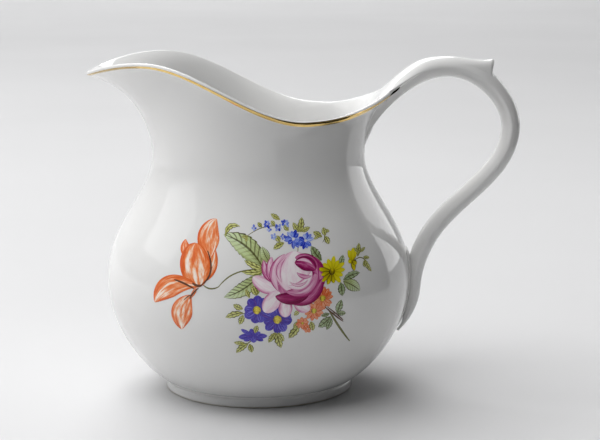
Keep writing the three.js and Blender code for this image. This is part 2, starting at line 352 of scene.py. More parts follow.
def bisque_material():
    """The foot: glazed on its sides, ground bare where it stands."""
    material, tree, shader = new_material("foot_glaze_and_bisque")
    place = object_place(tree)
    split = node(tree, "ShaderNodeSeparateXYZ")
    tree.links.new(place, split.inputs["Vector"])
    wander = scaled(tree, noise(tree, place, 500.0), (0.0, 1.0), (-0.00025, 0.00025))
    height = node(tree, "ShaderNodeMath", operation="ADD")
    tree.links.new(split.outputs["Z"], height.inputs[0])
    tree.links.new(wander, height.inputs[1])
    glazed = scaled(tree, height.outputs[0], (0.0003, 0.0006), (0.0, 1.0))
    colour = ramp(tree, glazed, [(0.0, (0.66, 0.62, 0.55)), (1.0, (0.81, 0.81, 0.80))])
    tree.links.new(colour, shader.inputs["Base Color"])
    rough = scaled(tree, glazed, (0.0, 1.0), (0.75, 0.07))
    tree.links.new(rough, shader.inputs["Roughness"])
    grit = noise(tree, place, 2500.0, detail=4.0)
    bump(tree, shader, grit, strength=0.08, distance=0.0002)
    return material


def gold_material():
    """Burnished fired gold, a little worn."""
    material, tree, shader = new_material("burnished_gold")
    place = object_place(tree)
    mottled(tree, shader, place, 300.0, (0.78, 0.53, 0.17), (0.90, 0.66, 0.27))
    shader.inputs["Metallic"].default_value = 1.0
    uneven_gloss(tree, shader, place, 900.0, 0.12, 0.26)
    bump(tree, shader, noise(tree, place, 1500.0), strength=0.15, distance=0.0001)
    return material


def slip_material():
    """Fired slip, glazed over with the rest of the jug."""
    material, tree, shader = new_material("glazed_slip")
    place = object_place(tree)
    mottled(tree, shader, place, 60.0, (0.780, 0.780, 0.768), (0.822, 0.820, 0.806))
    uneven_gloss(tree, shader, place, 200.0, 0.06, 0.12)
    bump(tree, shader, noise(tree, place, 400.0), strength=0.1, distance=0.0002)
    return material


def floor_material():
    material, tree, shader = new_material("floor_paper")
    place = object_place(tree)
    mottled(tree, shader, place, 3.0, (0.59, 0.59, 0.595), (0.62, 0.62, 0.625))
    shader.inputs["Roughness"].default_value = 0.75
    bump(tree, shader, noise(tree, place, 1800.0, detail=4.0), strength=0.1, distance=0.0003)
    return material


def flag_material():
    material, tree, shader = new_material("flag_black")
    place = object_place(tree)
    mottled(tree, shader, place, 200.0, (0.010, 0.010, 0.010), (0.018, 0.018, 0.018))
    shader.inputs["Roughness"].default_value = 1.0
    return material


PORCELAIN = porcelain_material()
SLIP_FINISH = slip_material()
FOOT_FINISH = bisque_material()
GOLD = gold_material()

# ------------------------------------------------------------------------------ vessel

COLUMNS = 288
LOWER_ROWS, SHOULDER_ROWS, FLARE_ROWS, LIP_ROWS = 30, 40, 48, 14
BASE_ROWS = 8

# The window in the wall where the handle grows out of it: its half angle, its lower edge
# on the outside as a share of the flare, and how far it reaches down the inside.
ROOT_HALF_ANGLE = math.radians(12.5)
ROOT_START = 0.22
ROOT_INSIDE_ROWS = 12


def body_section(angle):
    """The section of the wall from the base's middle, up the outside, over the lip and
    down the inside to the middle of the floor, for every angle: (rows, angles, 2)."""
    outside, out = [], []
    for part, (curve, rows) in enumerate(
            zip(wall_curves(angle), (LOWER_ROWS, SHOULDER_ROWS, FLARE_ROWS))):
        for t in np.linspace(0, 1, rows + 1)[0 if part == 0 else 1:]:
            place, along = bezier(curve, t)
            outside.append(place)
            out.append(np.stack([along[:, 1], -along[:, 0]], -1))
    outside, out = np.array(outside), np.array(out)
    flare_start = LOWER_ROWS + SHOULDER_ROWS
    thinning = np.clip((np.arange(len(outside)) - flare_start) / FLARE_ROWS, 0, 1)
    thickness = (WALL + (LIP - WALL) * thinning)[:, None, None]
    inside = outside - out * thickness
    top, top_out = outside[-1], out[-1]
    top_along = np.stack([-top_out[:, 1], top_out[:, 0]], -1)
    turns = np.linspace(0, math.pi, LIP_ROWS + 1)[1:-1]
    lip = np.array([
        top + top_out * (math.cos(turn) - 1) * LIP / 2 + top_along * math.sin(turn) * LIP / 2
        for turn in turns
    ])
    base_radius = np.linspace(0, SEAT_RADIUS, BASE_ROWS + 1)[:-1]
    hollow = BASE_HOLLOW * (1 - (base_radius / SEAT_RADIUS) ** 2)
    base = np.stack([base_radius, SEAT_Z + hollow], -1)[:, None, :] + 0 * top
    floor_radius = np.linspace(SEAT_RADIUS, 0, BASE_ROWS + 1)[1:]
    floor = np.stack([floor_radius, 0 * floor_radius + SEAT_Z + WALL], -1)[:, None, :] + 0 * top
    return np.concatenate([base, outside, lip, inside[::-1], floor])


ANGLES = np.linspace(0, 2 * math.pi, COLUMNS, endpoint=False)
body_rows = body_section(ANGLES)
body_grid = around(body_rows, ANGLES[None, :])
body_normals = -grid_normals(body_grid)
body_normals[0] = (0, 0, -1)
body_normals[-1] = (0, 0, 1)
RIM_ROW = BASE_ROWS + LOWER_ROWS + SHOULDER_ROWS + FLARE_ROWS
LIP_END_ROW = RIM_ROW + LIP_ROWS
WINDOW_LOW = BASE_ROWS + LOWER_ROWS + SHOULDER_ROWS + round(ROOT_START * FLARE_ROWS)
WINDOW_HIGH = LIP_END_ROW + ROOT_INSIDE_ROWS
WINDOW_COLUMNS = round(ROOT_HALF_ANGLE / (2 * math.pi) * COLUMNS)
MID_COLUMN = COLUMNS // 2


def in_window(i, j):
    across = MID_COLUMN - WINDOW_COLUMNS <= j < MID_COLUMN + WINDOW_COLUMNS
    return across and WINDOW_LOW <= i < WINDOW_HIGH


def window_loop():
    """The window's edge as (row, column), from the middle of its top edge inside the jug,
    round by +Y to the bottom edge and back up by -Y."""
    left, right = MID_COLUMN - WINDOW_COLUMNS, MID_COLUMN + WINDOW_COLUMNS
    loop = [(WINDOW_HIGH, j) for j in range(MID_COLUMN, right)]
    loop += [(i, right) for i in range(WINDOW_HIGH, WINDOW_LOW, -1)]
    loop += [(WINDOW_LOW, j) for j in range(right, left, -1)]
    loop += [(i, left) for i in range(WINDOW_LOW, WINDOW_HIGH)]
    loop += [(WINDOW_HIGH, j) for j in range(left, MID_COLUMN)]
    return loop


def make_vessel(socket_centre):
    rows = len(body_grid)

    def index(i, j):
        if i == 0:
            return 0
        if i == rows - 1:
            return 1
        return 2 + (i - 1) * COLUMNS + j

    points = [body_grid[0, 0], body_grid[-1, 0], *body_grid[1:-1].reshape(-1, 3)]
    normals = [body_normals[0, 0], body_normals[-1, 0], *body_normals[1:-1].reshape(-1, 3)]
    # At the two middles a ring is one point, so the quads there lose a corner.
    quads = grid_faces(rows, COLUMNS, index, skip=in_window)
    faces = [tuple(dict.fromkeys(face)) for face in quads]
    # The socket behind the handle's root closes the wall.
    loop = [index(i, j) for i, j in window_loop()]
    points.append(socket_centre)
    normals.append((1, 0, 0))
    centre = len(points) - 1
    faces += [(loop[n - 1], loop[n], centre) for n in range(len(loop))]
    # Vertices left inside the window are dropped.
    used = sorted({v for face in faces for v in face})
    renumber = {old: new for new, old in enumerate(used)}
    faces = [tuple(renumber[v] for v in face) for face in faces]
    add_piece(
        "vessel_glazed", np.array(points)[used], faces, np.array(normals)[used],
        PORCELAIN, ["vessel"])


# ------------------------------------------------------------------------------ handle

RING_AT = 0.80
LOFT_ROWS = 26
TUBE_ROWS_PER_SPAN = 44
ARRIS = 1.30
# The arris runs into the window's edge this many rows past the rim.
ARRIS_ROW = 2
WALL_PULL = 0.75
HANDLE_PULL = 0.80
# How far the handle first goes on past RING_AT, to find its direction there.
RING_STEP = 0.01
RING_ROWS = 12

# The socket's middle stands out from the window's edge, and the handle's end stands off it
# by ROOT_GAP. The slip between them fills these shares of the root, between these depths.
SOCKET_OUT = 1.5
ROOT_GAP = 0.4
ROOT_SLIP_START, ROOT_SLIP_REACH = 0.15, 0.9
ROOT_SLIP_LOW, ROOT_SLIP_HIGH = 0.10, 0.30

# The slip under the tail is a bead a little wider than the tail, from station TAIL_STATION
# of the handle down, with rounded ends.
TAIL_STATION = 3
TAIL_SLIP_TOP, TAIL_SLIP_BOTTOM = 42.4, 17.2
TAIL_SLIP_MARGIN = 0.35
TAIL_SLIP_THICK = 0.75
TAIL_SLIP_UNDER = 0.15
TAIL_SLIP_EASE = 2.5
TAIL_SLIP_ROWS, TAIL_SLIP_COLUMNS = 60, 24
TAIL_SLIP_THINNEST = 0.05

# The thumb spur, by the handle's own measure q, and its outline (x, z) as two curves.
SPUR_START, SPUR_TIP, SPUR_END = 1.05, 1.36, 1.46
SPUR_RIDGE = [(61.5, 98.9), (66.0, 97.8), (69.0, 98.6)]
SPUR_FACE = [(69.0, 98.6), (70.9, 98.5), (67.9, 94.6)]
SPUR_TIP_WIDTH = 2.6
SPUR_CROWN = 0.65
SPUR_ROWS = 60
# The fine rows run from this far before the spur's tip to this far past its end.
SPUR_ROWS_BEFORE, SPUR_ROWS_PAST = 0.08, 0.01


def handle_place(q):
    """Centre, direction and half sizes of the handle at q, counted in spans."""
    span = min(int(q), len(HANDLE_STATIONS) - 2)
    t = q - span
    x0, z0, turn0, _, after, wide0, deep0 = HANDLE_STATIONS[span]
    x1, z1, turn1, before, _, wide1, deep1 = HANDLE_STATIONS[span + 1]
    start, end = np.array([x0, z0]), np.array([x1, z1])
    leave = np.array([math.cos(math.radians(turn0)), math.sin(math.radians(turn0))])
    arrive = np.array([math.cos(math.radians(turn1)), math.sin(math.radians(turn1))])
    place, along = bezier((start, start + leave * after, end - arrive * before, end), t)
    blend = float(smoothstep(t))
    return place, along, wide0 + (wide1 - wide0) * blend, deep0 + (deep1 - deep0) * blend


def handle_back(q):
    """The place on the middle of the handle's back, without the spur."""
    place, along, _, deep = handle_place(q)
    return place + deep * np.array([-along[1], along[0]])


def spur_place(q):
    """The spur's ridge and then its hollow end face, in the handle's own plane."""
    if q < SPUR_TIP:
        ridge = np.array([handle_back(SPUR_START), *SPUR_RIDGE])
        return bezier(ridge, (q - SPUR_START) / (SPUR_TIP - SPUR_START))[0]
    face = np.array([*SPUR_FACE, handle_back(SPUR_END)])
    return bezier(face, (q - SPUR_TIP) / (SPUR_END - SPUR_TIP))[0]


def handle_ring(q, turns):
    """The section at q. turns is 0 on the back of the handle and 90 degrees at +Y, where
    the two faces of the handle meet in a soft arris. The thumb spur lifts its back."""
    place, along, wide, deep = handle_place(q)
    across = wide * np.sin(turns)
    cosine = np.cos(turns)
    out = deep * np.sign(cosine) * np.abs(cosine) ** ARRIS
    ring = np.stack([
        place[0] - along[1] * out,
        across,
        place[1] + along[0] * out,
    ], -1)
    if SPUR_START < q < SPUR_END:
        lift = spur_place(q) - handle_back(q)
        run = min((q - SPUR_START) / (SPUR_TIP - SPUR_START), 1.0)
        half = wide + (SPUR_TIP_WIDTH - wide) * run
        share = np.clip(1 - (across / half) ** 2, 0, 1) ** SPUR_CROWN * (cosine > 0)
        ring[..., 0] += lift[0] * share
        ring[..., 2] += lift[1] * share
    return ring


def loop_turns(loop):
    """Which way round the handle each point of the window's edge goes: its corners are
    tied to set turns and the points between are spaced by their distance."""
    left, right = MID_COLUMN - WINDOW_COLUMNS, MID_COLUMN + WINDOW_COLUMNS
    ties = {
        (WINDOW_HIGH, MID_COLUMN): 0.0,
        (WINDOW_HIGH, right): 48.0,
        (RIM_ROW + ARRIS_ROW, right): 90.0,
        (WINDOW_LOW, right): 140.0,
        (WINDOW_LOW, MID_COLUMN): 180.0,
        (WINDOW_LOW, left): 220.0,
        (RIM_ROW + ARRIS_ROW, left): 270.0,
        (WINDOW_HIGH, left): 312.0,
    }
    points = np.array([body_grid[i, j] for i, j in loop])
    steps = np.linalg.norm(np.roll(points, -1, 0) - points, axis=1)
    distance = np.concatenate([[0], np.cumsum(steps)])
    at = [loop.index(tie) for tie in ties]
    knots = [distance[n] for n in at] + [distance[-1]]
    return np.radians(np.interp(distance[:-1], knots, [*ties.values(), 360.0]))


def root_rows(start, start_normal, ring, onward):
    """Smooth curves from the window's edge, where they lie in the wall's surface, to the
    handle's first ring, where they run on along the handle."""
    gap = np.linalg.norm(ring - start, axis=1, keepdims=True)
    lean = (ring - start) / gap
    lean = unit(lean - (lean * start_normal).sum(1, keepdims=True) * start_normal)
    leave, arrive = gap * WALL_PULL * lean, gap * HANDLE_PULL * onward
    rows = []
    for t in np.linspace(0, 1, LOFT_ROWS + 1)[:-1]:
        from_start, to_ring = 2 * t**3 - 3 * t**2 + 1, -2 * t**3 + 3 * t**2
        leaving, arriving = t**3 - 2 * t**2 + t, t**3 - t**2
        rows.append(from_start * start + leaving * leave + to_ring * ring + arriving * arrive)
    return rows


def handle_measures():
    """Where along the handle its rings are, with more of them at the thumb spur."""
    spans = len(HANDLE_STATIONS) - 1
    measures = [np.linspace(RING_AT, 1, RING_ROWS)]
    measures += [np.linspace(k, k + 1, TUBE_ROWS_PER_SPAN)[1:] for k in range(1, spans)]
    spur_from, spur_to = SPUR_TIP - SPUR_ROWS_BEFORE, SPUR_END + SPUR_ROWS_PAST
    measures += [np.linspace(spur_from, spur_to, SPUR_ROWS)]
    return np.unique(np.concatenate(measures))


def make_handle():
    loop = window_loop()
    turns = loop_turns(loop)
    start = np.array([body_grid[i, j] for i, j in loop])
    start_normal = np.array([body_normals[i, j] for i, j in loop])
    ring = handle_ring(RING_AT, turns)
    onward = unit(handle_ring(RING_AT + RING_STEP, turns) - ring)
    rows = root_rows(start, start_normal, ring, onward)
    rows += [handle_ring(q, turns) for q in handle_measures()]
    grid = np.array(rows)
    normals = grid_normals(grid)
    if (normals[0] * start_normal).sum() < 0:
        normals = -normals
    normals[0] = start_normal
    count, around_count = grid.shape[:2]

    def index(i, j):
        return i * around_count + j % around_count

    faces = grid_faces(count, around_count, index)
    points = list(grid.reshape(-1, 3))
    all_normals = list(normals.reshape(-1, 3))
    socket = start.mean(0) + [SOCKET_OUT, 0, 0]
    ends = ((socket + [ROOT_GAP, 0, 0], 0, 0, 1), (grid[-1].mean(0), count - 1, 1, 0))
    for centre, row, first, second in ends:
        middle = len(points)
        points.append(centre)
        all_normals.append(normals[row].mean(0) + 1e-6)
        faces += [(index(row, j + first), index(row, j + second), middle)
                  for j in range(around_count)]
    add_piece("handle_glazed", points, faces, all_normals,
              PORCELAIN, ["handle"])
    return grid, normals, socket


def make_root_slip(rim, socket):
    """The cushion of slip behind the handle's root, between its end and the socket."""
    shares = np.linspace(ROOT_SLIP_START, ROOT_SLIP_REACH, 6)
    fans = [
        [socket + share * (rim - socket) + [depth * (1 - share), 0, 0] for share in shares]
        for depth in (ROOT_SLIP_LOW, ROOT_SLIP_HIGH)
    ]
    grid = np.array(fans[0] + fans[1][::-1])
    add_piece("root_slip", grid.reshape(-1, 3), tube_faces(grid), None,
              SLIP_FINISH, ["upper_luting_slip"])


def tail_half_width(height):
    """Half the handle's width at a height on its tail, which only runs down."""
    end = len(HANDLE_STATIONS) - 1
    places = [handle_place(q) for q in np.linspace(end - 0.001, TAIL_STATION, WALL_SAMPLES)]
    heights = [centre[1] for centre, _, _, _ in places]
    return np.interp(height, heights, [wide for _, _, wide, _ in places])


def make_tail_slip():
    """The bead of slip that seats the handle's tail on the belly."""
    turns = np.linspace(0, 2 * math.pi, TAIL_SLIP_COLUMNS, endpoint=False)
    rows = []
    for height in np.linspace(TAIL_SLIP_TOP, TAIL_SLIP_BOTTOM, TAIL_SLIP_ROWS):
        radius = np.interp(height, WALL_HEIGHTS, WALL_RADII)
        out, up = (np.interp(height, WALL_HEIGHTS, WALL_OUTS[:, k]) for k in range(2))
        from_end = min(height - TAIL_SLIP_BOTTOM, TAIL_SLIP_TOP - height) / TAIL_SLIP_EASE
        size = max(1 - (1 - min(from_end, 1.0)) ** 2, 0.0) ** 0.5
        size = max(size, TAIL_SLIP_THINNEST)
        y = (tail_half_width(height) + TAIL_SLIP_MARGIN) * size * np.cos(turns)
        thick = TAIL_SLIP_THICK * size * np.sin(turns)
        thick = np.where(thick < 0, TAIL_SLIP_UNDER * np.sin(turns), thick)
        reach = np.sqrt(radius**2 - y**2)
        swell = 1 + out * thick / radius
        rows.append(np.stack([reach * swell, y * swell, height + up * thick], -1))
    grid = np.array(rows)
    add_piece("tail_slip", grid.reshape(-1, 3), tube_faces(grid),
              grid_normals(grid).reshape(-1, 3), SLIP_FINISH,
              ["lower_luting_slip"])


handle_grid, handle_normals, root_socket = make_handle()
make_vessel(root_socket)
make_root_slip(handle_grid[0], root_socket)
make_tail_slip()

# --------------------------------------------------------------------------- foot ring

FOOT_ROUNDING = 0.7
# The foot's shoulders start this far below the seat, outside and inside, and its top
# reaches FOOT_JOIN into the body, between two insets from the seat's edge and the inside.
FOOT_SHOULDER_OUT, FOOT_SHOULDER_IN = 0.9, 0.2
FOOT_INSIDE_DROP = 0.3
FOOT_JOIN = 0.15
FOOT_JOIN_OUT, FOOT_JOIN_IN = 0.6, 1.0
FOOT_SLIP_OUT, FOOT_SLIP_DROP, FOOT_SLIP_BEAD = 0.15, 0.15, 0.45
FOOT_SLIP_POINTS = 16


def turned_ring(name, section, material, replaced):
    """A closed section turned all the way round the axis."""
    count = len(section)
    rows = np.repeat(np.array(section)[:, None, :], COLUMNS, 1)
    grid = around(rows, ANGLES[None, :])
    normals = -grid_normals(grid, wrap_rows=True)
    faces = grid_faces(count + 1, COLUMNS, lambda i, j: (i % count) * COLUMNS + j)
    add_piece(name, grid.reshape(-1, 3), faces, normals.reshape(-1, 3), material, replaced)


def arc(centre, radius, start, end, steps):
    turns = np.radians(np.linspace(start, end, steps))
    return [(centre[0] + radius * math.cos(a), centre[1] + radius * math.sin(a)) for a in turns]


def make_foot():
    """The foot's section, from the outside of its standing edge, up and round to the inside
    and back under."""
    outer, inner, rounding = FOOT_RADIUS, FOOT_RADIUS - FOOT_WIDTH, FOOT_ROUNDING
    shoulder, top = SEAT_Z - FOOT_SHOULDER_OUT, SEAT_Z + FOOT_JOIN
    section = arc((outer - rounding, rounding), rounding, -90, 0, 8)
    section += [(outer, z) for z in np.linspace(rounding, shoulder, 6)[1:]]
    section += arc((outer - rounding, shoulder), rounding, 0, 80, 8)[1:]
    section += [(SEAT_RADIUS - FOOT_JOIN_OUT, top), (inner + FOOT_JOIN_IN, top)]
    section += arc((inner + rounding, SEAT_Z - FOOT_SHOULDER_IN), rounding, 150, 180, 4)
    section += [(inner, z) for z in np.linspace(SEAT_Z - FOOT_INSIDE_DROP, rounding, 5)[1:]]
    section += arc((inner + rounding, rounding), rounding, 180, 270, 8)[1:]
    section += [(r, 0.0) for r in np.linspace(inner + rounding, outer - rounding, 6)[1:-1]]
    turned_ring("foot_ring_glazed", section, FOOT_FINISH, ["foot_ring"])


def make_foot_slip():
    """A soft bead of slip in the crease between the foot and the body."""
    centre = (SEAT_RADIUS + FOOT_SLIP_OUT, SEAT_Z - FOOT_SLIP_DROP)
    bead = arc(centre, FOOT_SLIP_BEAD, 0, 360, FOOT_SLIP_POINTS + 1)[:-1]
    turned_ring("foot_slip", bead, SLIP_FINISH, ["foot_luting_slip"])


make_foot()
make_foot_slip()

# ---------------------------------------------------------------------------- gold line

# The band reaches GILT_BELOW down the outside and GILT_ABOVE round the lip, and thins by
# a share at the spout. It is domed, from GILT_EDGE of the film's thickness at its sides.
GILT_ABOVE = math.radians(62.0)
GILT_BELOW = 0.5
GILT_SPOUT_THINNING = 0.35
GILT_FILM = 0.03
GILT_EDGE = 0.35
GILT_ACROSS = 13

# Over the last GILT_WIDENS of the rim the band goes down GILT_ROOT_DROP times as far, and
# the film grows to GILT_ROOT_FILM. Distances there are measured on ROOT_RADIUS.
GILT_WIDENS = 14.0
GILT_ROOT_DROP = 2.2
GILT_ROOT_FILM = 0.08
ROOT_RADIUS = 40.0

# Past the rim the band runs on along the root's arris for GILT_TAIL, and it narrows from
# GILT_NARROWS before that. Its sides reach this far below and above the arris, and lie on
# these rows of the root, counted from the rim's.
GILT_TAIL = 4.6
GILT_NARROWS = 3.0
GILT_NARROWEST = 0.05
GILT_LOW_SIDE, GILT_HIGH_SIDE = 1.4, 0.45
GILT_ROWS_BELOW, GILT_ROWS_ABOVE = 8, 14


def rim_stations():
    """The gold band's cross sections from one side of the handle round the spout to the
    other: places and outward directions, from the bottom of the band to its top, and how
    thick the film is, which grows towards the handle's root."""
    steps = MID_COLUMN - WINDOW_COLUMNS
    angles = np.arange(-steps, steps + 1) * 2 * math.pi / COLUMNS
    start = angles[-1]
    _, _, flare = wall_curves(angles)
    top, along = bezier(flare, 1.0)
    out = np.stack([along[:, 1], -along[:, 0]], -1)
    taper = gilt_width((start - np.abs(angles)) * ROOT_RADIUS)
    taper = taper * (1 - GILT_SPOUT_THINNING * lobe(angles, 2))
    near_root = smoothstep(1 - (start - np.abs(angles)) * ROOT_RADIUS / GILT_WIDENS)
    root_widening = 1 + (GILT_ROOT_DROP - 1) * near_root
    drop_share = GILT_BELOW / np.linalg.norm(3 * (flare[3] - flare[2]), axis=-1)
    edge_share = GILT_BELOW / (GILT_BELOW + GILT_ABOVE * LIP / 2)
    places, aways = [], []
    for share in np.linspace(0, 1, GILT_ACROSS):
        drop = np.clip(1 - share / edge_share, 0, 1) * taper * root_widening
        place, direction = bezier(flare, (1 - drop * drop_share)[:, None])
        away = np.stack([direction[:, 1], -direction[:, 0]], -1)
        over = np.clip((share - edge_share) / (1 - edge_share), 0, 1) * taper * GILT_ABOVE
        over_out = out * np.cos(over)[:, None] + along * np.sin(over)[:, None]
        on_lip = top - out * LIP / 2 + over_out * LIP / 2
        use_lip = (over > 0)[:, None]
        place = np.where(use_lip, on_lip, place)
        away = np.where(use_lip, over_out, away)
        radial = away[:, 0]
        places.append(around(place, angles))
        aways.append(np.stack(
            [-radial * np.cos(angles), -radial * np.sin(angles), away[:, 1]], -1))
    film = GILT_FILM + (GILT_ROOT_FILM - GILT_FILM) * near_root
    return np.array(places).swapaxes(0, 1), np.array(aways).swapaxes(0, 1), film


def root_stations(side):
    """The band's cross sections past the rim, along the arris of the handle's root, on the
    side of the handle where y has the sign given."""
    column = MID_COLUMN + side * WINDOW_COLUMNS
    loop = window_loop()
    rows = range(RIM_ROW - GILT_ROWS_BELOW, RIM_ROW + GILT_ROWS_ABOVE)
    columns = [loop.index((i, column)) for i in rows]
    middle = GILT_ROWS_BELOW + ARRIS_ROW
    arris = handle_grid[:LOFT_ROWS + 1, columns[middle]]
    travelled = np.cumsum(np.linalg.norm(np.diff(arris, axis=0), axis=1))
    places, aways = [], []
    for row in range(1, 1 + np.count_nonzero(travelled <= GILT_TAIL)):
        line, turned = handle_grid[row, columns], handle_normals[row, columns]
        steps = np.linalg.norm(np.diff(line, axis=0), axis=1)
        at = np.concatenate([[0], np.cumsum(steps)])
        at -= at[middle]
        width = gilt_width(-travelled[row - 1])
        wanted = np.linspace(-GILT_LOW_SIDE, GILT_HIGH_SIDE, GILT_ACROSS) * width
        place, away = (
            np.stack([np.interp(wanted, at, values[:, k]) for k in range(3)], -1)
            for values in (line, turned))
        places.append(place)
        aways.append(unit(away))
    return np.array(places), np.array(aways)


def gilt_width(distance):
    """The band's width as a share of its full width, by distance from where the rim ends
    at the handle's root: positive on the rim, negative on the root."""
    share = np.clip((distance + GILT_TAIL) / (GILT_TAIL + GILT_NARROWS), 0, 1)
    return np.maximum(smoothstep(share) ** 0.5, GILT_NARROWEST)


def make_gilt_line():
    """One thin domed film, from a point on the handle's root round the spout to the
    matching point on its other side."""
    rim, rim_out, rim_film = rim_stations()
    left, left_out = root_stations(-1)
    right, right_out = root_stations(1)
    places = np.concatenate([right[::-1], rim, left])
    aways = np.concatenate([right_out[::-1], rim_out, left_out])
    film = np.full(len(places), GILT_ROOT_FILM)
    film[len(right):-len(left)] = rim_film
    dome = GILT_EDGE + (1 - GILT_EDGE) * np.sin(np.linspace(0, math.pi, GILT_ACROSS))
    upper = places + aways * (film[:, None] * dome)[..., None]
    under = places - aways * GILT_FILM
    grid = np.concatenate([upper, under[:, ::-1]], 1)
    normals = np.concatenate([aways, -aways[:, ::-1]], 1)
    add_piece("gilt_line", grid.reshape(-1, 3), tube_faces(grid), normals.reshape(-1, 3),
              GOLD, ["gilt_rim_line"])


make_gilt_line()

# ------------------------------------------------------------- painted floral transfer
#
# The spray is laid out flat, in millimetres: x along the jug's length and z up. Each
# petal, leaf or brush line is a thin closed film that is then pressed on to the body.

FILM_UNDER = 0.03
FILM_BASE = 0.02
FILM_STEP = 0.004
# Petals with different tones take their brush streaks this much further apart.
PETAL_SPACING = 37.0
FINE_PETAL = {"rows": 24, "columns": 12}


def on_body(x, z, lift):
    """Points on the painted side of the body at x, z, raised by lift, and the normals."""
    radius = np.interp(z, WALL_HEIGHTS, WALL_RADII)
    out = np.interp(z, WALL_HEIGHTS, WALL_OUTS[:, 0])
    up = np.interp(z, WALL_HEIGHTS, WALL_OUTS[:, 1])
    y = -np.sqrt(radius**2 - x**2)
    normals = np.stack([out * x / radius, out * y / radius, up], -1)
    return np.stack([x, y, z], -1) + normals * lift, normals


def heading(angle):
    return np.array([math.cos(angle), math.sin(angle)])


class Paint:
    """Collects the films of one colour family and makes one mesh of them. Each film is
    closed, and lies a step of height above the one before, from first_layer up."""

    def __init__(self, name, material, first_layer, layers, seed):
        self.name, self.material = name, material
        self.first_layer, self.layers = first_layer, layers
        self.random = np.random.default_rng(seed)
        self.points, self.normals, self.faces = [], [], []
        self.along, self.across, self.tone = [], [], []
        self.count = 0
        self.vertices = 0

    def film(self, centre, side, half_width, tone, columns=6):
        """A strip along a centre line: rows of points from one edge to the other."""
        rows = len(centre)
        spread = np.linspace(-1, 1, columns + 1)
        flat = centre[:, None, :] + side[:, None, :] * (half_width[:, None] * spread)[..., None]
        lift = FILM_BASE + FILM_STEP * (self.first_layer + self.count % self.layers)
        self.count += 1
        along = np.repeat(np.linspace(0, 1, rows)[:, None], columns + 1, 1)
        across = np.repeat(spread[None, :], rows, 0)
        size = rows * (columns + 1)
        start = self.vertices
        for height, sign in ((lift, 1), (-FILM_UNDER, -1)):
            points, normals = on_body(flat[..., 0], flat[..., 1], height)
            self.points.append(points.reshape(-1, 3))
            self.normals.append(normals.reshape(-1, 3) * sign)
            self.along.append(along.ravel())
            self.across.append(across.ravel())
            self.tone.append(np.full(size, tone))
        self.vertices += 2 * size

        def top(i, j):
            return start + i * (columns + 1) + j

        for i in range(rows - 1):
            for j in range(columns):
                corner = (top(i, j), top(i, j + 1), top(i + 1, j + 1), top(i + 1, j))
                self.faces.append(corner)
                self.faces.append(tuple(size + v for v in reversed(corner)))
        edge = [top(0, j) for j in range(columns)]
        edge += [top(i, columns) for i in range(rows - 1)]
        edge += [top(rows - 1, j) for j in range(columns, 0, -1)]
        edge += [top(i, 0) for i in range(rows - 1, 0, -1)]
        for a, b in zip(edge, edge[1:] + edge[:1]):
            self.faces.append((b, a, a + size, b + size))

    def petal(self, base, tip, wide, bend=0.0, widest=1.0, blunt=0.6, teeth=0, bite=0.0,
              tone=None, rows=16, columns=6):
        """A petal or leaf from base to tip. widest over 1 moves its widest place towards
        the tip, blunt under 1 rounds its ends, and teeth and bite cut its edge."""
        base, tip = np.array(base, float), np.array(tip, float)
        axis = tip - base
        left = np.array([-axis[1], axis[0]])
        t = np.linspace(0, 1, rows + 1)
        centre = base + axis * t[:, None] + left * (bend * 4 * t * (1 - t))[:, None]
        along = axis + left * (bend * 4 * (1 - 2 * t))[:, None]
        along /= np.linalg.norm(along, axis=1, keepdims=True)
        side = np.stack([-along[:, 1], along[:, 0]], -1)
        half = wide * np.sin(math.pi * np.clip(t, 0.004, 0.996) ** widest) ** blunt
        half = half * (1 - bite * ((t * teeth) % 1.0)) if teeth else half
        if tone is None:
            tone = self.random.uniform(0.3, 0.7)
        self.film(centre, side, half, tone, columns)

    def line(self, points, wide, tone=None, rows=18):
        """A brush line along a smooth curve through three or four points."""
        points = np.array(points, float)
        t = np.linspace(0, 1, rows + 1)
        if len(points) == 3:
            middle = 2 * points[1] - (points[0] + points[2]) / 2
            points = np.array([
                points[0], points[0] / 3 + middle * 2 / 3,
                points[2] / 3 + middle * 2 / 3, points[2],
            ])
        centre = np.array([bezier(points, s)[0] for s in t])
        along = np.gradient(centre, axis=0)
        along /= np.linalg.norm(along, axis=1, keepdims=True)
        side = np.stack([-along[:, 1], along[:, 0]], -1)
        half = wide * np.sin(math.pi * np.clip(0.06 + 0.88 * t, 0, 1)) ** 0.5
        if tone is None:
            tone = self.random.uniform(0.3, 0.7)
        self.film(centre, side, half, tone, columns=2)

    def disc(self, centre, radius, tone=0.5):
        x, z = centre
        self.petal((x, z - radius), (x, z + radius), radius, blunt=0.5, tone=tone, rows=12)

    def flower(self, centre, radius, petals, wide, turn, inner, **shape):
        """A ring of petals around a centre, each a little different."""
        x, z = centre
        for n in range(petals):
            angle = turn + 2 * math.pi * n / petals + self.random.uniform(-0.1, 0.1)
            reach = radius * self.random.uniform(0.88, 1.06)
            way = heading(angle)
            self.petal((x, z) + way * inner * radius, (x, z) + way * reach,
                       wide * self.random.uniform(0.85, 1.15), **shape)

    def build(self):
        layers = {
            "along": np.concatenate(self.along),
            "across": np.concatenate(self.across),
            "tone": np.concatenate(self.tone),
        }
        add_piece(
            self.name, np.concatenate(self.points), self.faces, np.concatenate(self.normals),
            self.material, ["floral_transfer"], layers)


def attribute(tree, name):
    return node(tree, "ShaderNodeAttribute", attribute_name=name).outputs["Fac"]


def math_node(tree, operation, *values):
    made = node(tree, "ShaderNodeMath", operation=operation)
    for socket, value in zip(made.inputs, values):
        if isinstance(value, (int, float)):
            socket.default_value = value
        else:
            tree.links.new(value, socket)
    return made.outputs[0]


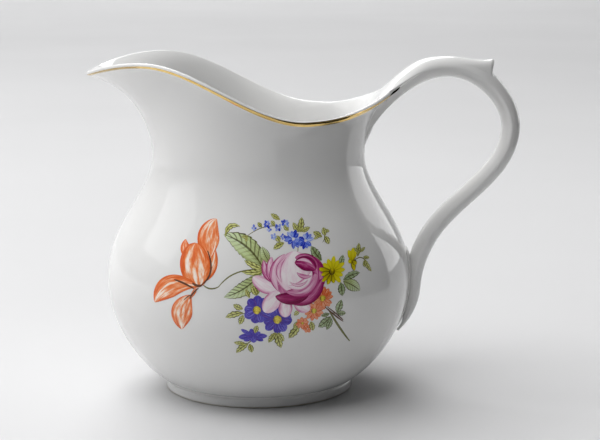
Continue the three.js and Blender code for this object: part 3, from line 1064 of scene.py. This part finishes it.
def srgb(red, green, blue):
    """A colour given as 0 to 255 screen values, in the linear values a shader wants."""
    def linear(value):
        value /= 255
        return value / 12.92 if value <= 0.04045 else ((value + 0.055) / 1.055) ** 2.4
    return tuple(linear(value) for value in (red, green, blue))


OLIVE_INK = (*srgb(66, 60, 18), 1.0)


def inked(tree, under, mask):
    """The colour under a mask of the dark green ink that the leaves are drawn with."""
    mix = node(tree, "ShaderNodeMix", data_type="RGBA")
    tree.links.new(mask, mix.inputs["Factor"])
    tree.links.new(under, mix.inputs["A"])
    mix.inputs["B"].default_value = OLIVE_INK
    return mix.outputs["Result"]


def enamel_material(name, stops, along=0.0, edge=0.0, streak=0.5, tone=0.5, base=0.3,
                    streaks=(5.0, 1.2), outline=None, vein=None, hatch=None):
    """Overglaze enamel. The weights say how much the place along the petal, the nearness
    to its edge, brush streaks and each petal's own tone move it along the colour stops.
    A leaf is also inked: outline says where from middle to edge its dark edge starts, vein
    how wide its middle vein is, and hatch how close, how slanted and how far out its
    shading lines are."""
    material, tree, shader = new_material(name)
    s, c, t = (attribute(tree, key) for key in ("along", "across", "tone"))

    def multiply(first, second):
        return math_node(tree, "MULTIPLY", first, second)

    def add(first, second):
        return math_node(tree, "ADD", first, second)

    near_edge = math_node(tree, "ABSOLUTE", c)
    place = node(tree, "ShaderNodeCombineXYZ")
    for socket, value, stretch in zip(place.inputs, (c, s, t), (*streaks, PETAL_SPACING)):
        tree.links.new(multiply(value, stretch), socket)
    brush = noise(tree, place.outputs[0], 1.0, detail=4.0, roughness=0.65)
    brush = scaled(tree, brush, (0.32, 0.68), (-0.5, 0.5))
    value = multiply(s, along)
    value = add(value, multiply(multiply(near_edge, near_edge), edge))
    value = add(value, multiply(brush, streak))
    value = add(value, multiply(t, tone))
    value = add(value, base)
    colour = ramp(tree, value, stops)
    if hatch:
        spacing, slope, reach = hatch
        lines = math_node(tree, "SUBTRACT", multiply(s, spacing), multiply(near_edge, slope))
        wave = math_node(tree, "SINE", lines)
        dark = scaled(tree, wave, (0.35, 0.75), (0.0, 0.75))
        shade_side = scaled(tree, c, (-reach, reach), (1.0, 0.25))
        colour = inked(tree, colour, multiply(dark, shade_side))
    if outline:
        ragged = add(near_edge, multiply(brush, 0.18))
        mask = scaled(tree, ragged, (outline, outline + 0.08), (0.0, 0.9))
        colour = inked(tree, colour, mask)
    if vein:
        mask = scaled(tree, near_edge, (vein, vein + 0.06), (0.85, 0.0))
        colour = inked(tree, colour, mask)
    tree.links.new(colour, shader.inputs["Base Color"])
    gloss = scaled(tree, brush, (-0.5, 0.5), (0.16, 0.3))
    tree.links.new(gloss, shader.inputs["Roughness"])
    return material


# Tulip petals: base, tip, half width, bend, widest, blunt and tone.
TULIP_PETALS = [
    ((-14.6, 40.2), (-11.1, 49.2), 1.3, -0.10, 1.0, 0.8, 0.9),
    ((-12.4, 47.0), (-10.9, 56.9), 3.1, 0.14, 0.9, 0.7, 0.30),
    ((-18.4, 46.0), (-19.5, 51.2), 1.5, 0.10, 1.0, 0.9, 0.75),
    ((-15.6, 38.9), (-16.5, 50.4), 4.4, 0.05, 1.0, 0.48, 0.42),
    ((-15.4, 39.0), (-28.4, 33.2), 2.9, -0.20, 1.25, 0.7, 0.6),
    ((-17.8, 36.6), (-20.6, 26.4), 3.0, -0.12, 1.1, 0.7, 0.45),
]


def paint_tulip():
    coral = enamel_material(
        "enamel_tulip",
        [(0.0, srgb(255, 244, 234)), (0.24, srgb(250, 220, 198)), (0.44, srgb(242, 160, 112)),
         (0.70, srgb(236, 124, 66)), (1.0, srgb(220, 96, 42))],
        edge=0.55, streak=1.25, tone=0.25, base=0.26, streaks=(2.6, 1.5))
    paint = Paint("transfer_tulip", coral, 4, 12, 11)
    for base, tip, wide, bend, widest, blunt, tone in TULIP_PETALS:
        paint.petal(base, tip, wide, bend, widest, blunt, tone=tone, **FINE_PETAL)
    paint.line([(-16.4, 38.6), (-17.0, 37.4), (-18.0, 35.8)], 0.5, tone=0.9)
    paint.build()


# Brush lines: the places they pass through and their half width.
BROWN_LINES = [
    ([(-14.9, 39.6), (-12.3, 43.4), (-13.2, 48.6)], 0.24),
    ([(-22.6, 40.3), (-19.8, 39.6), (-17.0, 38.4)], 0.26),
    ([(-15.7, 38.6), (-17.0, 37.4), (-18.2, 35.4)], 0.20),
    ([(-19.8, 35.0), (-18.6, 36.2), (-17.2, 36.8)], 0.14),
    ([(-17.4, 39.9), (-16.0, 39.3), (-14.6, 39.6)], 0.35),
    ([(19.2, 33.2), (21.8, 30.6), (24.4, 28.2)], 0.20),
    ([(20.0, 33.0), (22.6, 30.6), (24.4, 28.6)], 0.16),
]
STEMS = [
    ([(-14.4, 39.7), (-13.6, 38.7), (-11.6, 38.2), (-9.8, 39.6)], 0.20),
    ([(-10.2, 39.2), (-7.6, 42.6), (-4.6, 44.4), (2.2, 44.2)], 0.18),
    ([(20.2, 32.4), (22.0, 29.0), (24.0, 25.4), (26.4, 21.6)], 0.30),
    ([(11.6, 50.6), (11.8, 49.4), (11.6, 47.8)], 0.10),
    ([(-2.8, 52.4), (0.6, 55.0), (4.0, 55.8), (7.0, 55.0)], 0.10),
    ([(18.6, 50.4), (19.2, 51.6), (18.8, 53.4)], 0.10),
    ([(26.6, 43.6), (28.6, 45.8), (30.0, 46.2), (32.2, 42.0)], 0.12),
    ([(-4.2, 32.0), (-2.2, 32.4), (-1.0, 33.0)], 0.14),
    ([(-2.4, 23.2), (-1.2, 24.2), (-0.6, 25.4)], 0.16),
    ([(5.6, 25.0), (5.6, 26.4), (5.8, 28.0)], 0.16),
    ([(22.6, 31.0), (21.4, 31.2), (19.8, 32.6)], 0.12),
]


def paint_brown_lines():
    brown = enamel_material(
        "enamel_brown_line", [(0.0, srgb(150, 100, 70)), (1.0, srgb(70, 46, 44))],
        streak=0.6, tone=0.3, base=0.5)
    paint = Paint("transfer_brown_lines", brown, 20, 3, 5)
    for points, wide in BROWN_LINES:
        paint.line(points, wide)
    paint.build()


def paint_stems():
    green = enamel_material(
        "enamel_stem", [(0.0, srgb(150, 150, 90)), (1.0, srgb(82, 84, 46))],
        streak=0.9, tone=0.3, base=0.45, streaks=(2.0, 9.0))
    paint = Paint("transfer_stems", green, 0, 3, 6)
    for points, wide in STEMS:
        paint.line(points, wide)
    paint.build()


# Leaves: base x and z, tip x and z, half width and bend.
PALE_LEAVES = [
    (2.5, 43.8, -8.8, 53.0, 2.9, -0.12),
    (1.9, 43.6, -8.6, 36.6, 2.0, 0.08),
    (4.0, 45.9, 1.9, 50.1, 1.3, 0.05),
    (24.4, 39.6, 29.2, 36.3, 1.6, 0.05),
]
OLIVE_LEAVES = [
    (2.6, 43.9, -3.6, 43.5, 0.9, 0.04), (2.4, 44.2, -3.0, 46.6, 0.9, 0.04),
    (-8.3, 52.4, -4.2, 55.2, 0.8, 0.30),
    (6.8, 56.8, 4.2, 58.4, 0.7, 0.0), (5.4, 55.4, 4.3, 56.6, 0.6, 0.0),
    (1.8, 55.0, 0.6, 56.2, 0.6, 0.0), (-2.0, 52.9, -3.9, 52.6, 0.5, 0.1),
    (-2.3, 52.8, -2.6, 51.2, 0.5, 0.0), (9.2, 54.0, 7.8, 55.4, 0.7, 0.0),
    (6.7, 51.2, 5.8, 52.8, 0.8, 0.0), (8.0, 50.9, 5.0, 49.4, 0.9, -0.05),
    (12.5, 53.4, 12.8, 57.2, 1.0, 0.0), (12.2, 53.5, 10.4, 56.0, 0.8, 0.05),
    (12.6, 53.6, 15.2, 54.5, 0.7, 0.0), (19.4, 52.0, 18.8, 54.2, 0.8, 0.0),
    (18.5, 51.8, 16.0, 53.3, 0.8, 0.0), (19.4, 51.9, 20.5, 49.8, 0.8, 0.0),
    (17.9, 52.4, 16.2, 51.4, 0.5, 0.0), (19.2, 53.4, 20.6, 53.0, 0.5, 0.0),
    (28.6, 45.6, 29.0, 49.0, 0.8, 0.0), (29.1, 46.1, 27.3, 48.0, 0.6, 0.0),
    (29.3, 46.6, 30.8, 47.6, 0.5, 0.0), (30.6, 44.6, 32.6, 40.9, 0.6, -0.05),
    (30.2, 45.2, 32.0, 44.6, 0.5, 0.0), (30.4, 44.2, 30.6, 42.4, 0.5, 0.0),
    (-3.3, 32.4, -8.2, 30.9, 1.0, -0.05), (-3.3, 33.5, -6.0, 34.7, 0.9, 0.05),
    (-3.3, 31.8, -4.3, 29.0, 0.9, 0.0), (-1.5, 36.6, -2.6, 39.0, 0.7, 0.0),
    (0.4, 37.2, -0.8, 40.0, 1.0, 0.0), (0.6, 37.4, 0.8, 39.2, 0.6, 0.0),
    (-1.9, 23.4, -5.4, 20.3, 1.0, -0.05), (-2.9, 23.5, -6.0, 23.6, 0.7, 0.05),
    (-1.6, 23.2, -1.0, 20.5, 0.9, 0.0), (-0.1, 26.5, 0.6, 28.8, 0.8, 0.0),
    (5.5, 26.6, 3.6, 23.6, 0.9, 0.0), (5.7, 26.6, 7.1, 21.8, 1.2, 0.0),
    (6.3, 26.6, 7.9, 23.8, 0.8, 0.0), (10.7, 31.4, 12.2, 32.7, 0.7, 0.0),
    (12.2, 28.3, 9.2, 24.7, 1.2, 0.0), (15.4, 29.3, 16.0, 26.5, 0.9, 0.0),
    (11.6, 29.6, 10.6, 27.6, 0.6, 0.0),
]
BLUE_GREEN_LEAVES = [
    (18.4, 45.8, 15.5, 49.7, 1.2, 0.05), (24.4, 39.9, 29.2, 41.2, 1.1, 0.08),
    (23.7, 39.4, 24.2, 35.6, 1.1, 0.0), (23.4, 43.6, 24.4, 46.6, 0.9, 0.0),
    (20.9, 30.2, 17.4, 27.4, 1.3, 0.05), (21.2, 29.6, 19.8, 26.3, 0.9, 0.0),
    (22.7, 30.9, 23.9, 34.6, 1.1, 0.0), (22.7, 30.9, 25.2, 30.5, 0.8, 0.0),
    (20.6, 31.0, 18.2, 30.6, 0.7, 0.0),
]


def paint_leaf_kind(kind, green, leaves, first_layer, layers, seed, shape):
    paint = Paint(f"transfer_{kind}_leaves", green, first_layer, layers, seed)
    for base_x, base_z, tip_x, tip_z, wide, bend in leaves:
        paint.petal((base_x, base_z), (tip_x, tip_z), wide, bend, blunt=0.8, **shape)
    paint.build()


def paint_leaves():
    pale = enamel_material(
        "enamel_pale_leaf",
        [(0.0, srgb(222, 234, 206)), (0.5, srgb(196, 212, 152)), (1.0, srgb(128, 128, 48))],
        along=-0.65, edge=0.05, streak=0.45, tone=0.2, base=0.70,
        outline=0.88, vein=0.07, hatch=(62.0, 9.0, 0.6))
    paint_leaf_kind("pale", pale, PALE_LEAVES, 3, 4, 21,
                    {"teeth": 9, "bite": 0.12, "rows": 45, "columns": 10})
    olive = enamel_material(
        "enamel_olive_leaf",
        [(0.0, srgb(230, 232, 160)), (0.5, srgb(192, 194, 100)), (1.0, srgb(116, 110, 40))],
        along=-0.3, streak=0.8, tone=0.3, base=0.35,
        outline=0.74, vein=0.12, hatch=(26.0, 4.0, 0.8))
    paint_leaf_kind("olive", olive, OLIVE_LEAVES, 7, 6, 22,
                    {"teeth": 4, "bite": 0.3, "rows": 20})
    blue_green = enamel_material(
        "enamel_blue_green_leaf",
        [(0.0, srgb(204, 220, 180)), (0.5, srgb(148, 168, 118)), (1.0, srgb(76, 88, 48))],
        along=-0.25, streak=0.8, tone=0.3, base=0.38,
        outline=0.76, vein=0.12, hatch=(26.0, 4.0, 0.8))
    paint_leaf_kind("blue_green", blue_green, BLUE_GREEN_LEAVES, 7, 6, 23,
                    {"teeth": 5, "bite": 0.25, "rows": 20})


# Rose petals, from the back to the front: base, tip, half width, bend, blunt and tone.
ROSE_PETALS = [
    ((6.2, 38.6), (-0.6, 42.2), 2.1, 0.05, 0.5, 0.22),
    ((6.0, 40.6), (2.3, 46.6), 1.3, 0.12, 0.7, 0.60),
    ((6.6, 40.0), (4.6, 47.4), 1.4, 0.16, 0.7, 0.50),
    ((6.6, 38.2), (2.6, 32.6), 2.3, 0.0, 0.45, 0.20),
    ((8.4, 36.0), (8.3, 31.0), 1.9, 0.0, 0.45, 0.24),
    ((11.0, 35.4), (15.0, 32.6), 1.9, 0.0, 0.45, 0.22),
    ((12.8, 34.4), (17.4, 37.2), 1.3, 0.1, 0.6, 0.55),
    ((12.0, 47.2), (18.6, 39.0), 2.0, 0.16, 0.6, 0.74),
    ((18.6, 41.0), (9.0, 35.8), 2.1, 0.20, 0.6, 0.82),
    ((15.0, 37.4), (5.6, 37.0), 1.8, 0.10, 0.6, 1.0),
    ((6.4, 38.4), (8.2, 48.0), 1.4, 0.20, 0.7, 0.50),
    ((10.6, 37.8), (10.8, 48.6), 4.9, 0.0, 0.45, 0.16),
    ((17.2, 43.6), (8.4, 38.2), 1.9, 0.26, 0.7, 0.62),
    ((15.6, 43.2), (9.0, 39.6), 1.3, 0.24, 0.7, 0.22),
    ((11.0, 47.0), (17.2, 42.2), 1.7, 0.18, 0.6, 0.68),
    ((10.9, 45.6), (16.6, 43.4), 1.9, 0.14, 0.55, 0.90),
    ((11.4, 46.2), (15.8, 44.8), 0.5, 0.16, 0.8, 0.45),
    ((11.4, 43.2), (15.6, 42.0), 0.6, -0.16, 0.8, 0.55),
    ((7.4, 40.6), (8.6, 47.2), 0.7, 0.24, 0.8, 0.48),
    ((9.4, 40.8), (14.6, 41.0), 0.4, -0.24, 0.8, 0.42),
]


def paint_rose():
    rose = enamel_material(
        "enamel_rose",
        [(0.0, srgb(250, 240, 244)), (0.30, srgb(238, 200, 220)), (0.52, srgb(208, 120, 168)),
         (0.75, srgb(168, 46, 110)), (1.0, srgb(124, 8, 72))],
        edge=0.42, streak=0.42, tone=0.95, base=-0.16, streaks=(3.0, 1.6))
    paint = Paint("transfer_rose", rose, 9, 24, 31)
    paint.disc((10.6, 40.6), 5.6, tone=0.55)
    for base, tip, wide, bend, blunt, tone in ROSE_PETALS:
        paint.petal(base, tip, wide, bend, blunt=blunt, tone=tone, **FINE_PETAL)
    paint.build()


VIOLETS = [((0.7, 33.2), 4.1, 1.25, 0.2), ((6.0, 30.4), 4.2, 1.30, 0.5)]
SIDE_VIOLET = (-0.6, 25.6)
SIDE_VIOLET_PETALS = [
    ((-4.6, 25.2), 0.9), ((-3.9, 27.6), 0.6), ((-3.2, 24.2), 0.8), ((-1.2, 27.8), 0.8),
    ((-0.4, 23.6), 0.9), ((1.4, 26.8), 0.7), ((3.3, 25.6), 0.8), ((2.2, 24.2), 0.7),
]


def paint_violets():
    violet = enamel_material(
        "enamel_violet",
        [(0.0, srgb(126, 118, 216)), (0.35, srgb(76, 66, 188)), (0.65, srgb(56, 38, 160)),
         (1.0, srgb(100, 52, 158))],
        along=-0.25, edge=0.15, streak=1.1, tone=0.7, base=0.22)
    paint = Paint("transfer_violets", violet, 2, 6, 41)
    for centre, radius, wide, turn in VIOLETS:
        paint.flower(centre, radius, 9, wide, turn, inner=0.1, widest=1.35, blunt=0.5)
    for tip, wide in SIDE_VIOLET_PETALS:
        paint.petal(SIDE_VIOLET, tip, wide, widest=1.2, blunt=0.6)
    paint.build()


# Orange flowers: centre, radius, petals, half width, turn and where the petals start.
ORANGE_FLOWERS = [
    ((18.6, 35.6), 3.2, 13, 0.65, 0.0, 0.2), ((16.2, 32.2), 2.7, 12, 0.60, 0.3, 0.2),
    ((13.0, 29.0), 2.0, 8, 0.55, 0.1, 0.1), ((14.4, 27.2), 1.3, 6, 0.45, 0.0, 0.1),
]


def paint_orange_flowers():
    orange = enamel_material(
        "enamel_orange_flower",
        [(0.0, srgb(250, 200, 164)), (0.45, srgb(236, 128, 74)), (1.0, srgb(204, 74, 28))],
        along=-0.15, edge=0.35, streak=1.2, tone=0.6, base=0.18)
    paint = Paint("transfer_orange_flowers", orange, 6, 16, 51)
    for centre, radius, petals, wide, turn, inner in ORANGE_FLOWERS:
        paint.flower(centre, radius, petals, wide, turn, inner, blunt=0.6)
    paint.build()


# The yellow flower's petals are wavy in length and shaded on one side, and the petals of
# the one seen from its side fan out from YELLOW_SIDE_FLOWER.
YELLOW_FLOWER = (21.3, 42.7)
YELLOW_PETALS = 13
YELLOW_SHADE_SIDE = math.radians(215)
YELLOW_SIDE_FLOWER = (27.0, 44.8)
YELLOW_SIDE_PETALS = [
    ((25.9, 47.6), 0.3), ((27.2, 48.0), 0.3), ((28.0, 46.9), 0.35), ((25.8, 44.6), 0.5),
    ((27.6, 42.0), 0.75), ((28.2, 43.6), 0.7),
]


def paint_yellow_flowers():
    yellow = enamel_material(
        "enamel_yellow_flower",
        [(0.0, srgb(232, 222, 40)), (0.45, srgb(212, 198, 0)), (0.70, srgb(140, 122, 6)),
         (1.0, srgb(62, 50, 12))],
        along=-0.50, edge=0.45, streak=0.7, tone=0.8, base=0.14)
    paint = Paint("transfer_yellow_flowers", yellow, 14, 16, 52)
    for n in range(YELLOW_PETALS):
        angle = 2 * math.pi * n / YELLOW_PETALS
        shade = 0.30 + 0.40 * (math.cos(angle - YELLOW_SHADE_SIDE) > 0.3)
        reach = 3.6 + 0.4 * math.sin(5 * angle)
        way = heading(angle)
        paint.petal(YELLOW_FLOWER + way * 0.4, YELLOW_FLOWER + way * reach, 0.62,
                    widest=1.3, blunt=0.55, tone=shade)
    paint.disc((21.2, 42.6), 0.9, tone=0.9)
    for tip, tone in YELLOW_SIDE_PETALS:
        paint.petal(YELLOW_SIDE_FLOWER, tip, 0.65, blunt=0.6, tone=tone)
    paint.build()


# Blue flowers: centre, radius and petals.
BLUE_FLOWERS = [
    ((10.5, 51.8), 2.5, 11), ((13.9, 51.2), 2.3, 10), ((8.2, 55.8), 1.3, 7),
    ((6.3, 54.8), 1.1, 6), ((3.2, 55.8), 1.2, 6), ((5.0, 52.6), 1.0, 5),
    ((-0.4, 54.8), 0.9, 4), ((3.8, 54.4), 0.8, 4), ((7.6, 52.6), 0.9, 4),
]


def paint_blue_flowers():
    blue = enamel_material(
        "enamel_blue_flower",
        [(0.0, srgb(206, 218, 246)), (0.35, srgb(122, 152, 238)), (0.6, srgb(62, 88, 222)),
         (1.0, srgb(26, 34, 170))],
        edge=0.10, streak=1.3, tone=0.9, base=0.02)
    paint = Paint("transfer_blue_flowers", blue, 6, 12, 53)
    for centre, radius, petals in BLUE_FLOWERS:
        for n in range(petals):
            way = heading(2 * math.pi * n / petals + paint.random.uniform(-0.2, 0.2))
            reach = radius * paint.random.uniform(0.75, 1.1)
            paint.petal(centre + way * 0.15 * radius, centre + way * reach, 0.16 * radius + 0.14,
                        blunt=0.7, tone=float(paint.random.uniform(0.1, 0.95)), rows=10)
    paint.build()


FLOWER_CENTRES = [
    ((0.5, 33.2), 1.15), ((6.1, 30.4), 1.2), ((18.6, 35.6), 0.8), ((16.2, 32.3), 0.75),
    ((13.0, 29.0), 0.35),
]


def paint_flower_centres():
    centres = enamel_material(
        "enamel_flower_centre",
        [(0.0, srgb(240, 226, 90)), (0.55, srgb(216, 190, 50)), (0.8, srgb(120, 90, 40)),
         (1.0, srgb(80, 58, 34))],
        edge=0.75, streak=1.1, tone=0.2, base=0.10, streaks=(6.0, 6.0))
    paint = Paint("transfer_flower_centres", centres, 34, 3, 54)
    for centre, radius in FLOWER_CENTRES:
        paint.disc(centre, radius)
    paint.build()


paint_stems()
paint_leaves()
paint_tulip()
paint_orange_flowers()
paint_yellow_flowers()
paint_blue_flowers()
paint_flower_centres()
paint_violets()
paint_rose()
paint_brown_lines()

# ------------------------------------------------------------- studio: floor and lights

# The floor, in metres: flat out to SWEEP_FLAT, then bent up to a wall.
SWEEP_FLAT = 3.2
SWEEP_BEND = 1.6
SWEEP_TOP = 4.0
FLOOR_COLUMNS = 96

# The flag, in metres, between two directions counted in degrees from straight in front.
FLAG_AWAY = 0.22
FLAG_FROM, FLAG_TO = 15.0, 108.0
FLAG_STEPS = 24
FLAG_LOW, FLAG_HIGH = 0.0, 0.21

# The lights: name, place, target, width and height in metres, power in watts, and whether
# the light is mirrored by glossy surfaces and whether it lights matt ones.
JUG_MIDDLE = (AXIS_X * MM, 0.0, 0.05)
SOFTBOXES = [
    ("key_left", (-1.3, 0.30, 0.80), JUG_MIDDLE, (1.6, 1.2), 9.5, False, True),
    ("top", (-0.38, -0.16, 1.1), JUG_MIDDLE, (1.3, 1.0), 12.5, False, True),
    ("sweep", (-0.9, 3.4, 3.4), (-0.1, 3.0, 0.0), (3.0, 3.0), 150.0, True, True),
    ("gloss_left", (-1.3, 0.0, 0.9), JUG_MIDDLE, (0.9, 0.9), 2.4, True, False),
    ("edge_right", (0.90, 0.68, 0.32), JUG_MIDDLE, (0.9, 0.62), 2.6, True, False),
]
WORLD_COLOUR = (0.9, 0.92, 0.95, 1.0)
WORLD_STRENGTH = 0.05


def add_staging(name, points, faces, material):
    """A mesh object that belongs to the studio and not to the jug."""
    mesh = bpy.data.meshes.new(name)
    mesh.from_pydata(points, [], faces)
    mesh.materials.append(material)
    item = bpy.data.objects.new(name, mesh)
    bpy.context.collection.objects.link(item)
    return item


def make_floor():
    """A round floor that sweeps up into a low wall, so that it is pale behind every view."""
    section = [(radius, 0.0) for radius in np.linspace(0, SWEEP_FLAT, 12)]
    section += arc((SWEEP_FLAT, SWEEP_BEND), SWEEP_BEND, -90, 0, 14)[1:]
    section += [(SWEEP_FLAT + SWEEP_BEND, SWEEP_TOP)]
    rows = np.repeat(np.array(section)[:, None, :], FLOOR_COLUMNS, 1)
    angles = np.linspace(0, 2 * math.pi, FLOOR_COLUMNS, endpoint=False)
    points = around(rows, angles[None, :]).reshape(-1, 3).tolist()
    faces = grid_faces(len(section), FLOOR_COLUMNS, lambda i, j: i * FLOOR_COLUMNS + j)
    floor = add_staging("floor", points, faces, floor_material())
    floor.data.polygons.foreach_set("use_smooth", [True] * len(faces))


def make_flag():
    """A black card to the right of the camera, that no camera sees. It gives the glaze
    and the gold something dark to mirror, as a studio's black flag does."""
    turns = np.radians(np.linspace(FLAG_FROM, FLAG_TO, FLAG_STEPS))
    corners = []
    for height in (FLAG_LOW, FLAG_HIGH):
        corners += [(FLAG_AWAY * math.sin(a), -FLAG_AWAY * math.cos(a), height) for a in turns]
    faces = [(n, n + 1, n + 1 + FLAG_STEPS, n + FLAG_STEPS) for n in range(FLAG_STEPS - 1)]
    flag = add_staging("flag", corners, faces, flag_material())
    flag.visible_camera = False
    flag.visible_shadow = False


def softbox(name, place, target, size, power, in_gloss, on_matt):
    light = bpy.data.lights.new(name, "AREA")
    light.shape = "RECTANGLE"
    light.size, light.size_y = size
    light.energy = power
    item = bpy.data.objects.new(name, light)
    item.location = place
    item.visible_glossy = in_gloss
    item.visible_diffuse = on_matt
    direction = Vector(target) - item.location
    item.rotation_euler = direction.to_track_quat("-Z", "Y").to_euler()
    bpy.context.collection.objects.link(item)


def make_world():
    world = bpy.data.worlds.new("studio")
    bpy.context.scene.world = world
    world.use_nodes = True
    background = world.node_tree.nodes["Background"]
    background.inputs["Color"].default_value = WORLD_COLOUR
    background.inputs["Strength"].default_value = WORLD_STRENGTH


# The camera stands a little to the handle's side of the jug's axis and looks slightly
# down. Its side, distance and height are in jug millimetres from the axis and the floor.
CAMERA_SIDE = 12.36
CAMERA_AWAY = 495.0
CAMERA_HEIGHT = 138.4
CAMERA_PITCH = math.radians(10.09)
CAMERA_LENS = 100.6
SENSOR_WIDTH = 36.0


def make_camera():
    data = bpy.data.cameras.new("camera")
    data.lens = CAMERA_LENS
    data.sensor_width = SENSOR_WIDTH
    data.clip_start = 0.01
    camera = bpy.data.objects.new("camera", data)
    camera.location = (
        (AXIS_X + CAMERA_SIDE) * MM, (AXIS_Y - CAMERA_AWAY) * MM, CAMERA_HEIGHT * MM)
    camera.rotation_euler = (math.pi / 2 - CAMERA_PITCH, 0, 0)
    bpy.context.collection.objects.link(camera)
    bpy.context.scene.camera = camera


bpy.context.scene.view_settings.view_transform = "Standard"
make_floor()
make_camera()
make_flag()
make_world()
for settings in SOFTBOXES:
    softbox(*settings)
